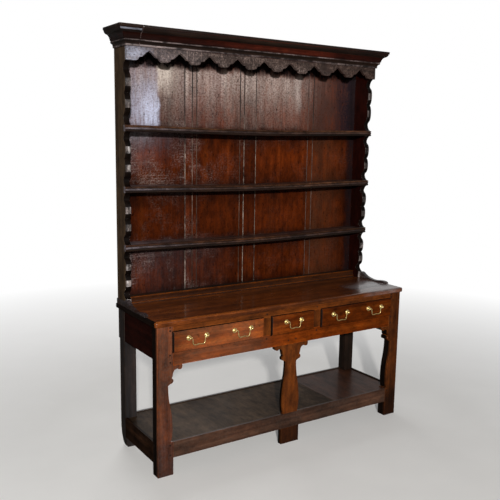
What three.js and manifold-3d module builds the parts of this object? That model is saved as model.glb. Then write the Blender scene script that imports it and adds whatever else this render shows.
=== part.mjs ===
// Pot-board welsh dresser: an open plate rack standing on a three-drawer base.
// Millimetres, +X to the right, +Y to the back, +Z up.
// The front faces of the front legs lie at y = 0 until the last lines centre the whole on its footprint.

import * as THREE from "three";
import { mergeVertices } from "three/addons/utils/BufferGeometryUtils.js";
import Module from "manifold-3d";

const wasm = await Module();
wasm.setup();

// Driving dimensions of the whole
const overallHeight = 2030;
const baseWidth = 1490;
const baseDepth = 425;
const tableHeight = 736;

// Fits
const fitGap = 0.3;
const cutOverrun = 5;

// Table top
const tableThickness = 25;
const tableSideOverhang = 12;
const tableFrontOverhang = 10;
const tableEdgeRadius = 9;
const tableEdgeStep = 2.5;
const tableCornerRadius = 14;

// Legs, each sawn to a half silhouette on its inner edge
const legWidth = 79;
const legThickness = 52;
const backLegWidth = 62;
const backLegThickness = 56;
const neckInset = 25;
const bellyInset = 4;
const ankleInset = 12;
const bellyHeight = 225;
const wingWidth = 72;
const wingDrop = 92;

// Centre support
const supportFootWidth = 110;
const supportThickness = 26;

// Rails and panels of the base
const railThickness = 24;
const topRailHeight = 31;
const openingHeight = 90;
const apronHeight = 65;
const frontRailHeight = 77;
const sideRailHeight = 102;
const sidePanelHeight = 158;
const sidePanelThickness = 18;
const sidePanelSetback = 3;
const backPanelHeight = 152;
const backPanelThickness = 12;
const muntinWidth = 55;
const centreOpeningWidth = 256;

// Tenons and tongues
const tenonLength = 30;
const tenonThickness = 9;
const tenonShoulder = 7;
const stubTenonLength = 12;
const tongueDepth = 8;

// Pot board
const potBoardHeight = 160;
const potBoardThickness = 18;
const potBoardSink = 4;
const potBoardRebate = 10;
const potBoardJointGap = 0.8;

// Drawer runners
const runnerHeight = 25;
const runnerLedge = 24;
const guideHeight = 22;

// Drawers
const drawerProud = 12;
const drawerFrontThickness = 24;
const drawerLip = 5;
const drawerLipRadius = 7;
const drawerSideGap = 1.5;
const drawerTopGap = 3;
const drawerRunnerGap = 0.4;
const drawerBackGap = 25;
const drawerWall = 10;
const drawerBottomThickness = 7;
const drawerBottomRaise = 5;

// Swan-neck handles
const boreSpacing = 93;
const handleRise = 12;
const handleOffset = 122;
const roseRadius = 12.5;
const roseThickness = 2.6;
const stemRadius = 3.4;
const ballRadius = 5.6;
const ballReach = 13;
const shankRadius = 2.4;
const nutRadius = 5.5;
const nutThickness = 3;
const bailRadius = 2.3;
const bailDrop = 34;
const pinClearance = 0.35;

// Plate rack
const rackOverhang = 7;
const endBoardThickness = 28;
const endBoardDepthTop = 127;
const endBoardDepthBottom = 100;
const scallopDepth = 23;
const backBoardThickness = 12;
const backBoardRebate = 14;
const backBoardJointGap = 0.8;
const grooveWidth = 5;
const grooveDepth = 2.5;

// Shelves
const shelfThickness = 19;
const shelfNoseHeight = 30;
const shelfNoseDepth = 22;
const shelfNoseProjection = 7;
const shelfEndProjection = 3;
const shelfHousing = 8;
const shelfSag = 9;
const plateGrooveWidth = 8;
const plateGrooveDepth = 3;
const plateGrooveInset = 42;

// Bottom rail of the rack and its shoes
const bottomRailHeight = 36;
const bottomRailDepth = 48;
const bottomRailBead = 4;
const shoeThickness = 20;
const shoeProjection = 5;
const shoeBackHeight = 27;
const shoeKnobHeight = 36;
const shoeTipSetback = 115;

// Frieze, cornice and top board
const friezeThickness = 16;
const friezeDrop = 61;
const peakPitch = 160;
const peakHeight = 46;
const corniceHeight = 88;
const corniceProjection = 53;
const topBoardThickness = 14;

// Shares of the wing outline: outward from the neck, and down from the rail above
const wingTipShares = [1, 0.09];
const wingLobeShares = [[1, 0.25], [0.84, 0.25]];
const wingQuirkShares = [[0.72, 0.25], [0.68, 0.19]];
const wingRunShares = [[0.5, 0.2], [0.42, 0.27]];
const wingFallShares = [[0.35, 0.33], [0.32, 0.53]];
const wingNotchShares = [0.255, 0.645];
const wingBeakShares = [[0.38, 0.68], [0.37, 0.8]];
const wingHeelShares = [[0.34, 0.91], [0.16, 0.92]];

// Shares of one scallop bay: height in the bay, and depth of the cut
const scallopShares = [
  [[0.03, 0.85], [0.12, 1]],
  [[0.15, 1], [0.17, 0.7]],
  [[0.21, 0], [0.33, 0.02]],
  [[0.46, 0.04], [0.5, 0.62]],
  [[0.54, 0.04], [0.67, 0.02]],
  [[0.79, 0], [0.83, 0.7]],
  [[0.85, 1], [0.88, 1]],
  [[0.97, 0.85], [1, 0]],
];

// Shares of half a frieze pendant: sideways in the pitch, and down from the peak
const pendantShares = [
  [[0.1, 0.22], [0.21, 0.6]],
  [[0.27, 0.64], [0.31, 0.66]],
  [[0.33, 0.97], [0.42, 1]],
];

// Shares of the cornice outline: outward and up
const corniceStartShares = [0.12, 0];
const corniceFilletShares = [0.12, 0.1];
const corniceCoveShares = [[0.16, 0.2], [0.26, 0.22]];
const corniceBeadShares = [[0.4, 0.27], [0.3, 0.34]];
const corniceStepShares = [0.38, 0.37];
const corniceHollowShares = [[0.44, 0.6], [0.66, 0.66]];
const corniceRoundShares = [[0.92, 0.7], [0.94, 0.86]];
const corniceTopShares = [1, 0.86];

// Shares of half the bail: along half the bore spacing, and down the drop
const bailShares = [
  [1.13, 0], [0.98, 0], [0.88, 0], [0.79, -0.07], [0.72, 0.1], [0.69, 0.42],
  [0.67, 0.72], [0.58, 0.93], [0.42, 1], [0.2, 0.97], [0, 0.93],
];
const bailSteps = 36;
const bailSides = 6;

// Shares of the shoe outline: along its run from tip to knob, and up its knob height
const shoeShares = [
  [[0.01, 0.3], [0.12, 0.34]],
  [[0.24, 0.34], [0.34, 0.2]],
  [[0.52, 0.02], [0.76, 0.45]],
  [[0.86, 0.75], [0.88, 0.86]],
  [[0.93, 1.06], [1, 0.95]],
];

// Shares of the rack's clear height at which the middles of the shelves' noses lie, up from the table
const shelfHeightShares = [0.249, 0.49, 0.737];

// Shares of the pot board's length at which its planks meet, from its middle
const potBoardJointShares = [-0.269, 0.21];

// Shares of the rack's clear width at which grooves and joints of the back boards fall, from its middle
const backJointShares = [-0.2637, 0.0244, 0.2603];
const backGrooveShares = [-0.2352, -0.2182, -0.0434, -0.0258, 0.2847];

// Fineness of curves
const curveSegments = 4;
const reedSegments = 2;
const sagSteps = 10;
const turnSegments = 12;
const ballSteps = 4;

// Heights and places worked out from the sizes above
const halfBase = baseWidth / 2;
const halfRack = halfBase + rackOverhang;
const halfTable = halfBase + tableSideOverhang;
const tableBottom = tableHeight - tableThickness;
const openingTop = tableBottom - topRailHeight;
const openingBottom = openingTop - openingHeight;
const apronBottom = openingBottom - apronHeight;
const legInnerX = halfBase - legWidth;
const backLegInnerX = halfBase - backLegWidth;
const backLegFront = baseDepth - backLegThickness;
const frontRailBottom = potBoardHeight - frontRailHeight;
const potBoardTop = potBoardHeight - potBoardSink;
const potBoardBottom = potBoardTop - potBoardThickness;
const centreOpeningHalf = centreOpeningWidth / 2;
const muntinOuterX = centreOpeningHalf + muntinWidth;
const rackInnerX = halfRack - endBoardThickness;
const rackBack = baseDepth;
const backBoardFront = rackBack - backBoardThickness;
const endBoardFrontTop = rackBack - endBoardDepthTop;
const endBoardFrontBottom = rackBack - endBoardDepthBottom;
const rackTop = overallHeight - topBoardThickness;
const corniceBottom = overallHeight - corniceHeight;
const friezeBottom = corniceBottom - friezeDrop;
const friezeFront = endBoardFrontTop - friezeThickness;
const tableBack = baseDepth + backPanelThickness;
const shelfHeights = shelfHeightShares.map((share) => tableHeight + share * (friezeBottom - tableHeight));

// Finishes
function finish(color, roughness, metalness) {
  return () => new THREE.MeshStandardMaterial({ color, roughness, metalness, flatShading: true });
}
const darkOak = finish(0x2e1a12, 0.35, 0);
const redOak = finish(0x52261a, 0.35, 0);
const warmOak = finish(0x6b3618, 0.35, 0);
const greyOak = finish(0x3a3029, 0.6, 0);
const innerOak = finish(0x8a6a45, 0.8, 0);
const brass = finish(0xc9b27a, 0.3, 1);

// Solids

// A closed geometry as a solid that can be joined and cut.
function solidOf(geometry) {
  const bare = geometry.clone();
  bare.deleteAttribute("normal");
  bare.deleteAttribute("uv");
  const merged = mergeVertices(bare);
  return new wasm.Manifold(
    new wasm.Mesh({
      numProp: 3,
      vertProperties: new Float32Array(merged.attributes.position.array),
      triVerts: new Uint32Array(merged.index.array),
    }),
  );
}

// A block between two values on each axis.
function block([x0, x1], [y0, y1], [z0, z1]) {
  const geometry = new THREE.BoxGeometry(x1 - x0, y1 - y0, z1 - z0);
  geometry.translate((x0 + x1) / 2, (y0 + y1) / 2, (z0 + z1) / 2);
  return solidOf(geometry);
}

function extruded(outline, depth, steps = 1, segments = curveSegments) {
  return new THREE.ExtrudeGeometry(outline, { depth, steps, bevelEnabled: false, curveSegments: segments });
}

function placed(geometry, xAxis, yAxis, zAxis, origin) {
  const matrix = new THREE.Matrix4().makeBasis(
    new THREE.Vector3(...xAxis),
    new THREE.Vector3(...yAxis),
    new THREE.Vector3(...zAxis),
  );
  matrix.setPosition(...origin);
  return geometry.applyMatrix4(matrix);
}

// An outline in (y, z) carried along X.
function alongX(outline, [x0, x1]) {
  return solidOf(placed(extruded(outline, x1 - x0), [0, 1, 0], [0, 0, 1], [1, 0, 0], [x0, 0, 0]));
}

// The same in many steps, each point then lowered or raised by bend(x).
function bentAlongX(outline, [x0, x1], bend) {
  const straight = extruded(outline, x1 - x0, sagSteps, reedSegments);
  const geometry = placed(straight, [0, 1, 0], [0, 0, 1], [1, 0, 0], [x0, 0, 0]);
  const position = geometry.attributes.position;
  for (let i = 0; i < position.count; i++) position.setZ(i, position.getZ(i) + bend(position.getX(i)));
  return solidOf(geometry);
}

// An outline in (x, z) carried along Y.
function alongY(outline, [y0, y1]) {
  return solidOf(placed(extruded(outline, y1 - y0), [1, 0, 0], [0, 0, 1], [0, -1, 0], [0, y1, 0]));
}

// An outline in (x, y) carried along Z.
function alongZ(outline, [z0, z1]) {
  return solidOf(placed(extruded(outline, z1 - z0), [1, 0, 0], [0, 1, 0], [0, 0, 1], [0, 0, z0]));
}

// A round bar along one axis, between two values on it.
function bar(axis, radius, [from, to], [a, b]) {
  const geometry = new THREE.CylinderGeometry(radius, radius, to - from, turnSegments);
  const middle = (from + to) / 2;
  if (axis === "x") geometry.rotateZ(Math.PI / 2).translate(middle, a, b);
  else geometry.translate(a, middle, b);
  return solidOf(geometry);
}

function grown([from, to], by) {
  return [from - by, to + by];
}

function mirrored(range) {
  return [-range[1], -range[0]];
}

// The range on the left (-1) or the right (1) of a range given for the right.
function onSide(side, range) {
  return side > 0 ? range : mirrored(range);
}

// Adds a line or a curve for each entry of a table of shares, through a mapping to real places.
function follow(outline, shares, place) {
  for (const entry of shares) {
    if (Array.isArray(entry[0])) outline.quadraticCurveTo(...place(entry[0]), ...place(entry[1]));
    else outline.lineTo(...place(entry));
  }
}

// The same table walked from its last point to its first, after the outline has reached the last point.
function followBack(outline, start, shares, place) {
  const points = [start, ...shares.map((entry) => (Array.isArray(entry[0]) ? entry[1] : entry))];
  for (let i = shares.length - 1; i >= 0; i--) {
    const entry = shares[i];
    if (Array.isArray(entry[0])) outline.quadraticCurveTo(...place(entry[0]), ...place(points[i]));
    else outline.lineTo(...place(points[i]));
  }
}

// The assembly
const dresser = new THREE.Group();

function meshOf(name, solid, material) {
  const made = solid.getMesh();
  const geometry = new THREE.BufferGeometry();
  const places = new Float32Array(made.vertProperties);
  geometry.setAttribute("position", new THREE.BufferAttribute(places, made.numProp));
  geometry.setIndex(new THREE.BufferAttribute(new Uint32Array(made.triVerts), 1));
  geometry.computeVertexNormals();
  const mesh = new THREE.Mesh(geometry, material());
  mesh.name = name;
  return mesh;
}

function add(name, solid, material, parent = dresser) {
  parent.add(meshOf(name, solid, material));
}

const sides = [
  ["left", -1],
  ["right", 1],
];

// Rails of the base and their tenons

const railFaceY = [0, railThickness];
const tenonY = [tenonShoulder, tenonShoulder + tenonThickness];

// A rail between the front legs, with a tenon into each.
function frontRailBlanks(zRange) {
  const tenonZ = grown(zRange, -tenonShoulder);
  const tenonX = grown([-legInnerX, legInnerX], tenonLength);
  return {
    rail: block([-legInnerX, legInnerX], railFaceY, zRange).add(block(tenonX, tenonY, tenonZ)),
    mortise: block(grown(tenonX, fitGap), grown(tenonY, fitGap), grown(tenonZ, fitGap)),
  };
}

const topRail = frontRailBlanks([openingTop, tableBottom]);
const apron = frontRailBlanks([apronBottom, openingBottom]);
const frontRail = frontRailBlanks([frontRailBottom, potBoardHeight]);
const muntinTenonX = [centreOpeningHalf + tenonShoulder, muntinOuterX - tenonShoulder];
const muntinTenonZ = grown([openingBottom, openingTop], stubTenonLength);
const supportTenonZ = [apronBottom, apronBottom + stubTenonLength];
const supportTenonX = [-supportFootWidth / 2, supportFootWidth / 2];

function addTopRail() {
  let solid = topRail.rail;
  for (const [, side] of sides) {
    solid = solid.subtract(
      block(onSide(side, grown(muntinTenonX, fitGap)), grown(tenonY, fitGap), grown(muntinTenonZ, fitGap)),
    );
  }
  add("top_rail", solid, redOak);
}

function addApron() {
  let solid = apron.rail;
  for (const [, side] of sides) {
    solid = solid.subtract(
      block(onSide(side, grown(muntinTenonX, fitGap)), grown(tenonY, fitGap), grown(muntinTenonZ, fitGap)),
    );
  }
  solid = solid.subtract(
    block(grown(supportTenonX, fitGap), grown(tenonY, fitGap), [
      supportTenonZ[0] - cutOverrun,
      supportTenonZ[1] + fitGap,
    ]),
  );
  add("apron_rail", solid, warmOak);
}

function addMuntins() {
  for (const [name, side] of sides) {
    const bodyX = onSide(side, [centreOpeningHalf, muntinOuterX]);
    const body = block(bodyX, railFaceY, [openingBottom, openingTop]);
    const tenon = block(onSide(side, muntinTenonX), tenonY, muntinTenonZ);
    add(`drawer_muntin_${name}`, body.add(tenon), redOak);
  }
}

// The silhouette that the front legs and the centre support share

// Traces one inner edge upwards from the pot board to the wing's outer end under the apron.
// edge(inset) is the place that lies that far inside the foot's edge.
function traceSilhouette(outline, edge) {
  const neckHeight = apronBottom - wingDrop;
  const bellyLow = (potBoardHeight + bellyHeight) / 2;
  const bellyHigh = bellyHeight + (neckHeight - bellyHeight) / 2;
  outline.lineTo(edge(0), potBoardHeight);
  outline.lineTo(edge(ankleInset), potBoardHeight);
  outline.quadraticCurveTo(edge(bellyInset), bellyLow, edge(bellyInset), bellyHeight);
  const shoulder = edge((neckInset + bellyInset) / 2);
  outline.quadraticCurveTo(edge(bellyInset), (bellyHigh + bellyHeight) / 2, shoulder, bellyHigh);
  outline.quadraticCurveTo(edge(neckInset), (neckHeight + bellyHigh) / 2, edge(neckInset), neckHeight);
  const place = ([out, down]) => [edge(neckInset - out * wingWidth), apronBottom - down * wingDrop];
  const shares = [
    wingTipShares,
    wingLobeShares,
    wingQuirkShares,
    wingRunShares,
    wingFallShares,
    wingNotchShares,
    wingBeakShares,
    wingHeelShares,
  ];
  const heel = wingHeelShares[1];
  outline.lineTo(...place(heel));
  followBack(outline, [1, 0], shares, place);
}

function frontLegOutline(side) {
  const outline = new THREE.Shape();
  const edge = (inset) => side * (legInnerX + inset);
  outline.moveTo(side * halfBase, 0);
  outline.lineTo(edge(0), 0);
  traceSilhouette(outline, edge);
  outline.lineTo(edge(0), apronBottom);
  outline.lineTo(edge(0), tableBottom);
  outline.lineTo(side * halfBase, tableBottom);
  outline.closePath();
  return outline;
}

const sideRailX = [halfBase - railThickness, halfBase];
const sideRailZ = [potBoardHeight - sideRailHeight, potBoardHeight];
const sideTenonX = [sideRailX[0] + tenonShoulder, sideRailX[0] + tenonShoulder + tenonThickness];
const sideTenonZ = grown(sideRailZ, -tenonShoulder);
const sideTenonY = grown([legThickness, backLegFront], tenonLength);
const sidePanelX = [halfBase - sidePanelSetback - sidePanelThickness, halfBase - sidePanelSetback];
const sidePanelZ = [tableBottom - sidePanelHeight, tableBottom];
const sideTongueX = [sidePanelX[0] + sidePanelThickness / 4, sidePanelX[1] - sidePanelThickness / 4];
const sideTongueY = grown([legThickness, backLegFront], tongueDepth);

// The sockets for the side rail's tenons and the side panel's tongues, in the legs on one side.
function sideSockets(side) {
  const mortiseX = onSide(side, grown(sideTenonX, fitGap));
  const mortise = block(mortiseX, grown(sideTenonY, fitGap), grown(sideTenonZ, fitGap));
  const groove = block(onSide(side, grown(sideTongueX, fitGap)), grown(sideTongueY, fitGap), [
    sidePanelZ[0] - fitGap,
    sidePanelZ[1] + cutOverrun,
  ]);
  return mortise.add(groove);
}

function addFrontLegs() {
  for (const [name, side] of sides) {
    let solid = alongY(frontLegOutline(side), [0, legThickness]);
    for (const { mortise } of [topRail, apron, frontRail]) solid = solid.subtract(mortise);
    add(`front_leg_${name}`, solid.subtract(sideSockets(side)), redOak);
  }
}

const backRailY = [baseDepth - railThickness, baseDepth];
const backTenonX = grown([-backLegInnerX, backLegInnerX], tenonLength);
const backTenonY = [backRailY[0] + tenonShoulder, backRailY[0] + tenonShoulder + tenonThickness];
const backTenonZ = grown([frontRailBottom, potBoardHeight], -tenonShoulder);

function addBackLegs() {
  const mortise = block(grown(backTenonX, fitGap), grown(backTenonY, fitGap), grown(backTenonZ, fitGap));
  for (const [name, side] of sides) {
    const post = block(onSide(side, [backLegInnerX, halfBase]), [backLegFront, baseDepth], [0, tableBottom]);
    add(`back_leg_${name}`, post.subtract(mortise).subtract(sideSockets(side)), darkOak);
  }
}

// The rebate in which the rails carry the pot board's planks.
const potBoardRebateZ = [potBoardBottom, potBoardHeight + cutOverrun];

// The centre support is halved with the front rail, which runs across its face.
const supportLap = railThickness / 2;

function addCentreSupport() {
  const half = supportFootWidth / 2;
  let solid = block(supportTenonX, tenonY, supportTenonZ);
  for (const [, side] of sides) {
    const edge = (inset) => side * (half - inset);
    const outline = new THREE.Shape();
    outline.moveTo(0, 0);
    outline.lineTo(edge(0), 0);
    traceSilhouette(outline, edge);
    outline.lineTo(0, apronBottom);
    outline.closePath();
    solid = solid.add(alongY(outline, [0, supportThickness]));
  }
  const lapZ = grown([frontRailBottom, potBoardHeight], fitGap);
  solid = solid.subtract(block(grown([-half, half], cutOverrun), [-cutOverrun, supportLap + fitGap], lapZ));
  add("centre_support", solid, redOak);
}

function addFrontRail() {
  const lap = block(
    grown(supportTenonX, fitGap),
    [supportLap, railThickness + cutOverrun],
    grown([frontRailBottom, potBoardHeight], cutOverrun),
  );
  const rebate = block(
    [-legInnerX, legInnerX],
    [railThickness - potBoardRebate, railThickness + cutOverrun],
    potBoardRebateZ,
  );
  add("front_rail", frontRail.rail.subtract(lap).subtract(rebate), redOak);
}

function addBackRail() {
  const rail = block([-backLegInnerX, backLegInnerX], backRailY, [frontRailBottom, potBoardHeight]);
  const tenon = block(backTenonX, backTenonY, backTenonZ);
  const rebate = block(
    [-backLegInnerX, backLegInnerX],
    [backRailY[0] - cutOverrun, backRailY[0] + potBoardRebate],
    potBoardRebateZ,
  );
  add("back_rail", rail.add(tenon).subtract(rebate), darkOak);
}

function addSideRails() {
  for (const [name, side] of sides) {
    const rail = block(onSide(side, sideRailX), [legThickness, backLegFront], sideRailZ);
    const tenon = block(onSide(side, sideTenonX), sideTenonY, sideTenonZ);
    const rebate = block(
      onSide(side, [sideRailX[0] - cutOverrun, sideRailX[0] + potBoardRebate]),
      [legThickness, backLegFront],
      potBoardRebateZ,
    );
    add(`side_rail_${name}`, rail.add(tenon).subtract(rebate), darkOak);
  }
}

// The pot board's planks run from front to back in the rails' rebates, notched round legs and support.
function addPotBoards() {
  const xEnd = sideRailX[0] + potBoardRebate - fitGap;
  const yRange = [railThickness - potBoardRebate + fitGap, backRailY[0] + potBoardRebate - fitGap];
  const joints = [-1 / 2, ...potBoardJointShares, 1 / 2].map((share) => share * 2 * xEnd);
  const notchZ = grown([potBoardBottom, potBoardTop], cutOverrun);
  let notches = block(grown(supportTenonX, fitGap), [0, supportThickness + fitGap], notchZ);
  for (const [, side] of sides) {
    const frontX = onSide(side, [legInnerX - fitGap, halfBase]);
    const backX = onSide(side, [backLegInnerX - fitGap, halfBase]);
    notches = notches
      .add(block(frontX, [0, legThickness + fitGap], notchZ))
      .add(block(backX, [backLegFront - fitGap, baseDepth], notchZ));
  }
  for (let i = 0; i + 1 < joints.length; i++) {
    const from = joints[i] + (i > 0 ? potBoardJointGap / 2 : 0);
    const to = joints[i + 1] - (i + 2 < joints.length ? potBoardJointGap / 2 : 0);
    const plank = block([from, to], yRange, [potBoardBottom, potBoardTop]).subtract(notches);
    add(`pot_board_${i + 1}`, plank, greyOak);
  }
}

function addSidePanels() {
  for (const [name, side] of sides) {
    const panel = block(onSide(side, sidePanelX), [legThickness, backLegFront], sidePanelZ);
    const tongue = block(onSide(side, sideTongueX), sideTongueY, sidePanelZ);
    add(`side_panel_${name}`, panel.add(tongue), darkOak);
  }
}

function addBackPanel() {
  const z = [tableBottom - backPanelHeight, tableBottom];
  add("back_panel", block([-halfBase, halfBase], [baseDepth, tableBack], z), darkOak);
}

// The outline of a board's moulded edge, on the low side of a range and optionally on the high side too.
function mouldedEdge([from, to], [low, high], bothSides) {
  const outline = new THREE.Shape();
  const radius = tableEdgeRadius;
  outline.moveTo(from + radius / 2, low);
  outline.quadraticCurveTo(from, low, from, low + radius);
  outline.lineTo(from, high - tableEdgeStep - radius / 2);
  outline.quadraticCurveTo(from, high - tableEdgeStep, from + radius / 2, high - tableEdgeStep / 2);
  outline.quadraticCurveTo(from + radius, high, from + radius + tableEdgeStep, high);
  if (bothSides) {
    outline.lineTo(to - radius - tableEdgeStep, high);
    outline.quadraticCurveTo(to - radius, high, to - radius / 2, high - tableEdgeStep / 2);
    outline.quadraticCurveTo(to, high - tableEdgeStep, to, high - tableEdgeStep - radius / 2);
    outline.lineTo(to, low + radius);
    outline.quadraticCurveTo(to, low, to - radius / 2, low);
  } else {
    outline.lineTo(to, high);
    outline.lineTo(to, low);
  }
  outline.closePath();
  return outline;
}

function addTableTop() {
  const z = [tableBottom, tableHeight];
  const front = -tableFrontOverhang;
  const plan = new THREE.Shape();
  plan.moveTo(-halfTable + tableCornerRadius, front);
  plan.lineTo(halfTable - tableCornerRadius, front);
  plan.quadraticCurveTo(halfTable, front, halfTable, front + tableCornerRadius);
  plan.lineTo(halfTable, tableBack);
  plan.lineTo(-halfTable, tableBack);
  plan.lineTo(-halfTable, front + tableCornerRadius);
  plan.quadraticCurveTo(-halfTable, front, -halfTable + tableCornerRadius, front);
  plan.closePath();
  const solid = alongX(mouldedEdge([front, tableBack], z, false), [-halfTable, halfTable])
    .intersect(alongY(mouldedEdge([-halfTable, halfTable], z, true), [front, tableBack]))
    .intersect(alongZ(plan, z));
  add("table_top", solid, warmOak);
}

// Drawer runners: each carries the drawers on a ledge and guides them by its upper part
function addRunners() {
  const ledgeZ = [openingBottom - runnerHeight, openingBottom];
  const guideZ = [openingBottom - runnerHeight, openingBottom + guideHeight];
  const fullY = [railThickness, baseDepth];
  for (const [name, side] of sides) {
    const ledge = block(onSide(side, [legInnerX - runnerLedge, legInnerX]), fullY, ledgeZ);
    const guide = block(onSide(side, [legInnerX, sidePanelX[0]]), [legThickness, backLegFront], guideZ);
    add(`drawer_runner_${name}`, ledge.add(guide), innerOak);
    const teeX = onSide(side, [centreOpeningHalf - runnerLedge, muntinOuterX + runnerLedge]);
    const tee = block(teeX, fullY, ledgeZ);
    const fence = block(onSide(side, [centreOpeningHalf, muntinOuterX]), fullY, guideZ);
    add(`drawer_runner_centre_${name}`, tee.add(fence), innerOak);
  }
}

// Drawers, each in its own frame: x = 0 at its middle, y = 0 at the rails' face, z = 0 on the runners

function drawerFront(width, posts) {
  const half = width / 2;
  const lipX = grown([-half, half], drawerLip);
  const lipZ = grown([0, openingHeight], drawerLip);
  const innerX = grown([-half, half], -drawerSideGap);
  const innerZ = [drawerRunnerGap, openingHeight - drawerTopGap];
  const face = -drawerProud;
  const radius = drawerLipRadius;
  const plan = new THREE.Shape();
  plan.moveTo(lipX[0], -fitGap);
  plan.lineTo(lipX[0], face + radius / 2);
  plan.quadraticCurveTo(lipX[0], face, lipX[0] + radius, face);
  plan.lineTo(lipX[1] - radius, face);
  plan.quadraticCurveTo(lipX[1], face, lipX[1], face + radius / 2);
  plan.lineTo(lipX[1], -fitGap);
  plan.closePath();
  const upright = new THREE.Shape();
  upright.moveTo(-fitGap, lipZ[0]);
  upright.lineTo(face + radius / 2, lipZ[0]);
  upright.quadraticCurveTo(face, lipZ[0], face, lipZ[0] + radius);
  upright.lineTo(face, lipZ[1] - radius);
  upright.quadraticCurveTo(face, lipZ[1], face + radius / 2, lipZ[1]);
  upright.lineTo(-fitGap, lipZ[1]);
  upright.closePath();
  let solid = alongZ(plan, lipZ).intersect(alongX(upright, lipX));
  solid = solid.add(block(innerX, [-fitGap - radius / 2, drawerFrontThickness - drawerProud], innerZ));
  for (const x of posts) {
    solid = solid.subtract(
      bar("y", shankRadius + fitGap, grown([face, drawerFrontThickness - drawerProud], cutOverrun), [
        x,
        openingHeight / 2 + handleRise,
      ]),
    );
  }
  return solid;
}

function drawerBox(width) {
  const half = width / 2 - drawerSideGap;
  const y = [drawerFrontThickness - drawerProud + fitGap, baseDepth - drawerBackGap];
  const z = [drawerRunnerGap, openingHeight - drawerTopGap];
  const outer = block([-half, half], y, z);
  const hollow = block(
    grown([-half, half], -drawerWall),
    [y[0] - cutOverrun, y[1] - drawerWall],
    [z[0] + drawerBottomRaise + drawerBottomThickness, z[1] + cutOverrun],
  );
  const under = block(
    grown([-half, half], -drawerWall),
    [y[0] - cutOverrun, y[1] - drawerWall],
    [z[0] - cutOverrun, z[0] + drawerBottomRaise],
  );
  return outer.subtract(hollow).subtract(under);
}

// A post: rose, stem and bored ball in front, shank and nut behind, turned about its own axis.
function handlePost() {
  const reach = drawerFrontThickness;
  const front = (value) => -fitGap - value;
  const profile = [
    [0, reach + nutThickness + fitGap],
    [nutRadius, reach + nutThickness + fitGap],
    [nutRadius, reach + fitGap],
    [shankRadius, reach + fitGap],
    [shankRadius, -fitGap],
    [roseRadius, -fitGap],
    [roseRadius, front(roseThickness / 2)],
    [roseRadius - roseThickness, front(roseThickness)],
    [roseRadius / 2, front(roseThickness)],
    [stemRadius + roseThickness / 2, front(2 * roseThickness)],
    [stemRadius, front(2 * roseThickness)],
  ];
  const ballStart = Math.asin(stemRadius / ballRadius);
  for (let i = 0; i <= ballSteps; i++) {
    const angle = ballStart + ((Math.PI - ballStart) * i) / ballSteps;
    const radius = i < ballSteps ? ballRadius * Math.sin(angle) : 0;
    profile.push([radius, -ballReach + ballRadius * Math.cos(angle)]);
  }
  const points = profile.map(([r, y]) => new THREE.Vector2(r, y)).reverse();
  const turned = solidOf(new THREE.LatheGeometry(points, turnSegments));
  const boreX = grown([-ballRadius, ballRadius], cutOverrun);
  const bore = bar("x", bailRadius + pinClearance, boreX, [-ballReach, 0]);
  return turned.subtract(bore);
}

// A bail with its ends in the posts' bores, in the frame of its own hinge line.
function bail() {
  const right = bailShares.map(
    ([along, down]) => new THREE.Vector3((along * boreSpacing) / 2, 0, -down * bailDrop),
  );
  const left = right.slice(0, -1).map((point) => new THREE.Vector3(-point.x, 0, point.z));
  const path = new THREE.CatmullRomCurve3([...left, ...right.reverse()], false, "centripetal");
  const section = new THREE.Shape();
  for (let i = 0; i < bailSides; i++) {
    const angle = ((i + 1 / 2) * 2 * Math.PI) / bailSides;
    const x = bailRadius * Math.cos(angle);
    const y = bailRadius * Math.sin(angle);
    if (i === 0) section.moveTo(x, y);
    else section.lineTo(x, y);
  }
  section.closePath();
  const settings = { extrudePath: path, steps: bailSteps, curveSegments: 1 };
  return solidOf(new THREE.ExtrudeGeometry(section, settings));
}

function addHandle(group, name, centreX) {
  const height = openingHeight / 2 + handleRise;
  const handle = new THREE.Group();
  handle.position.set(centreX, -drawerProud, height);
  for (const [end, side] of sides) {
    const post = meshOf(`${name}_post_${end}`, handlePost(), brass);
    post.position.x = (side * boreSpacing) / 2;
    handle.add(post);
  }
  const swing = meshOf(`${name}_bail`, bail(), brass);
  swing.position.y = -ballReach;
  handle.add(swing);
  group.add(handle);
}

function addDrawer(name, from, to, handleCentres) {
  const width = to - from;
  const drawer = new THREE.Group();
  drawer.position.set((from + to) / 2, 0, openingBottom);
  const posts = handleCentres.flatMap(([, x]) => [x - boreSpacing / 2, x + boreSpacing / 2]);
  add(`drawer_${name}_front`, drawerFront(width, posts), warmOak, drawer);
  add(`drawer_${name}_box`, drawerBox(width), innerOak, drawer);
  for (const [handleName, x] of handleCentres) addHandle(drawer, handleName, x);
  dresser.add(drawer);
}

function addDrawers() {
  addDrawer("left", -legInnerX, -muntinOuterX, [
    ["handle_1", -handleOffset],
    ["handle_2", handleOffset],
  ]);
  addDrawer("centre", -centreOpeningHalf, centreOpeningHalf, [["handle_3", 0]]);
  addDrawer("right", muntinOuterX, legInnerX, [
    ["handle_4", -handleOffset],
    ["handle_5", handleOffset],
  ]);
}

// Plate rack

// The front edge of an end board before scalloping: it leans back from the frieze to the table.
function rackFrontAt(z) {
  const share = (z - tableHeight) / (friezeBottom - tableHeight);
  return endBoardFrontBottom + (endBoardFrontTop - endBoardFrontBottom) * share;
}

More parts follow.
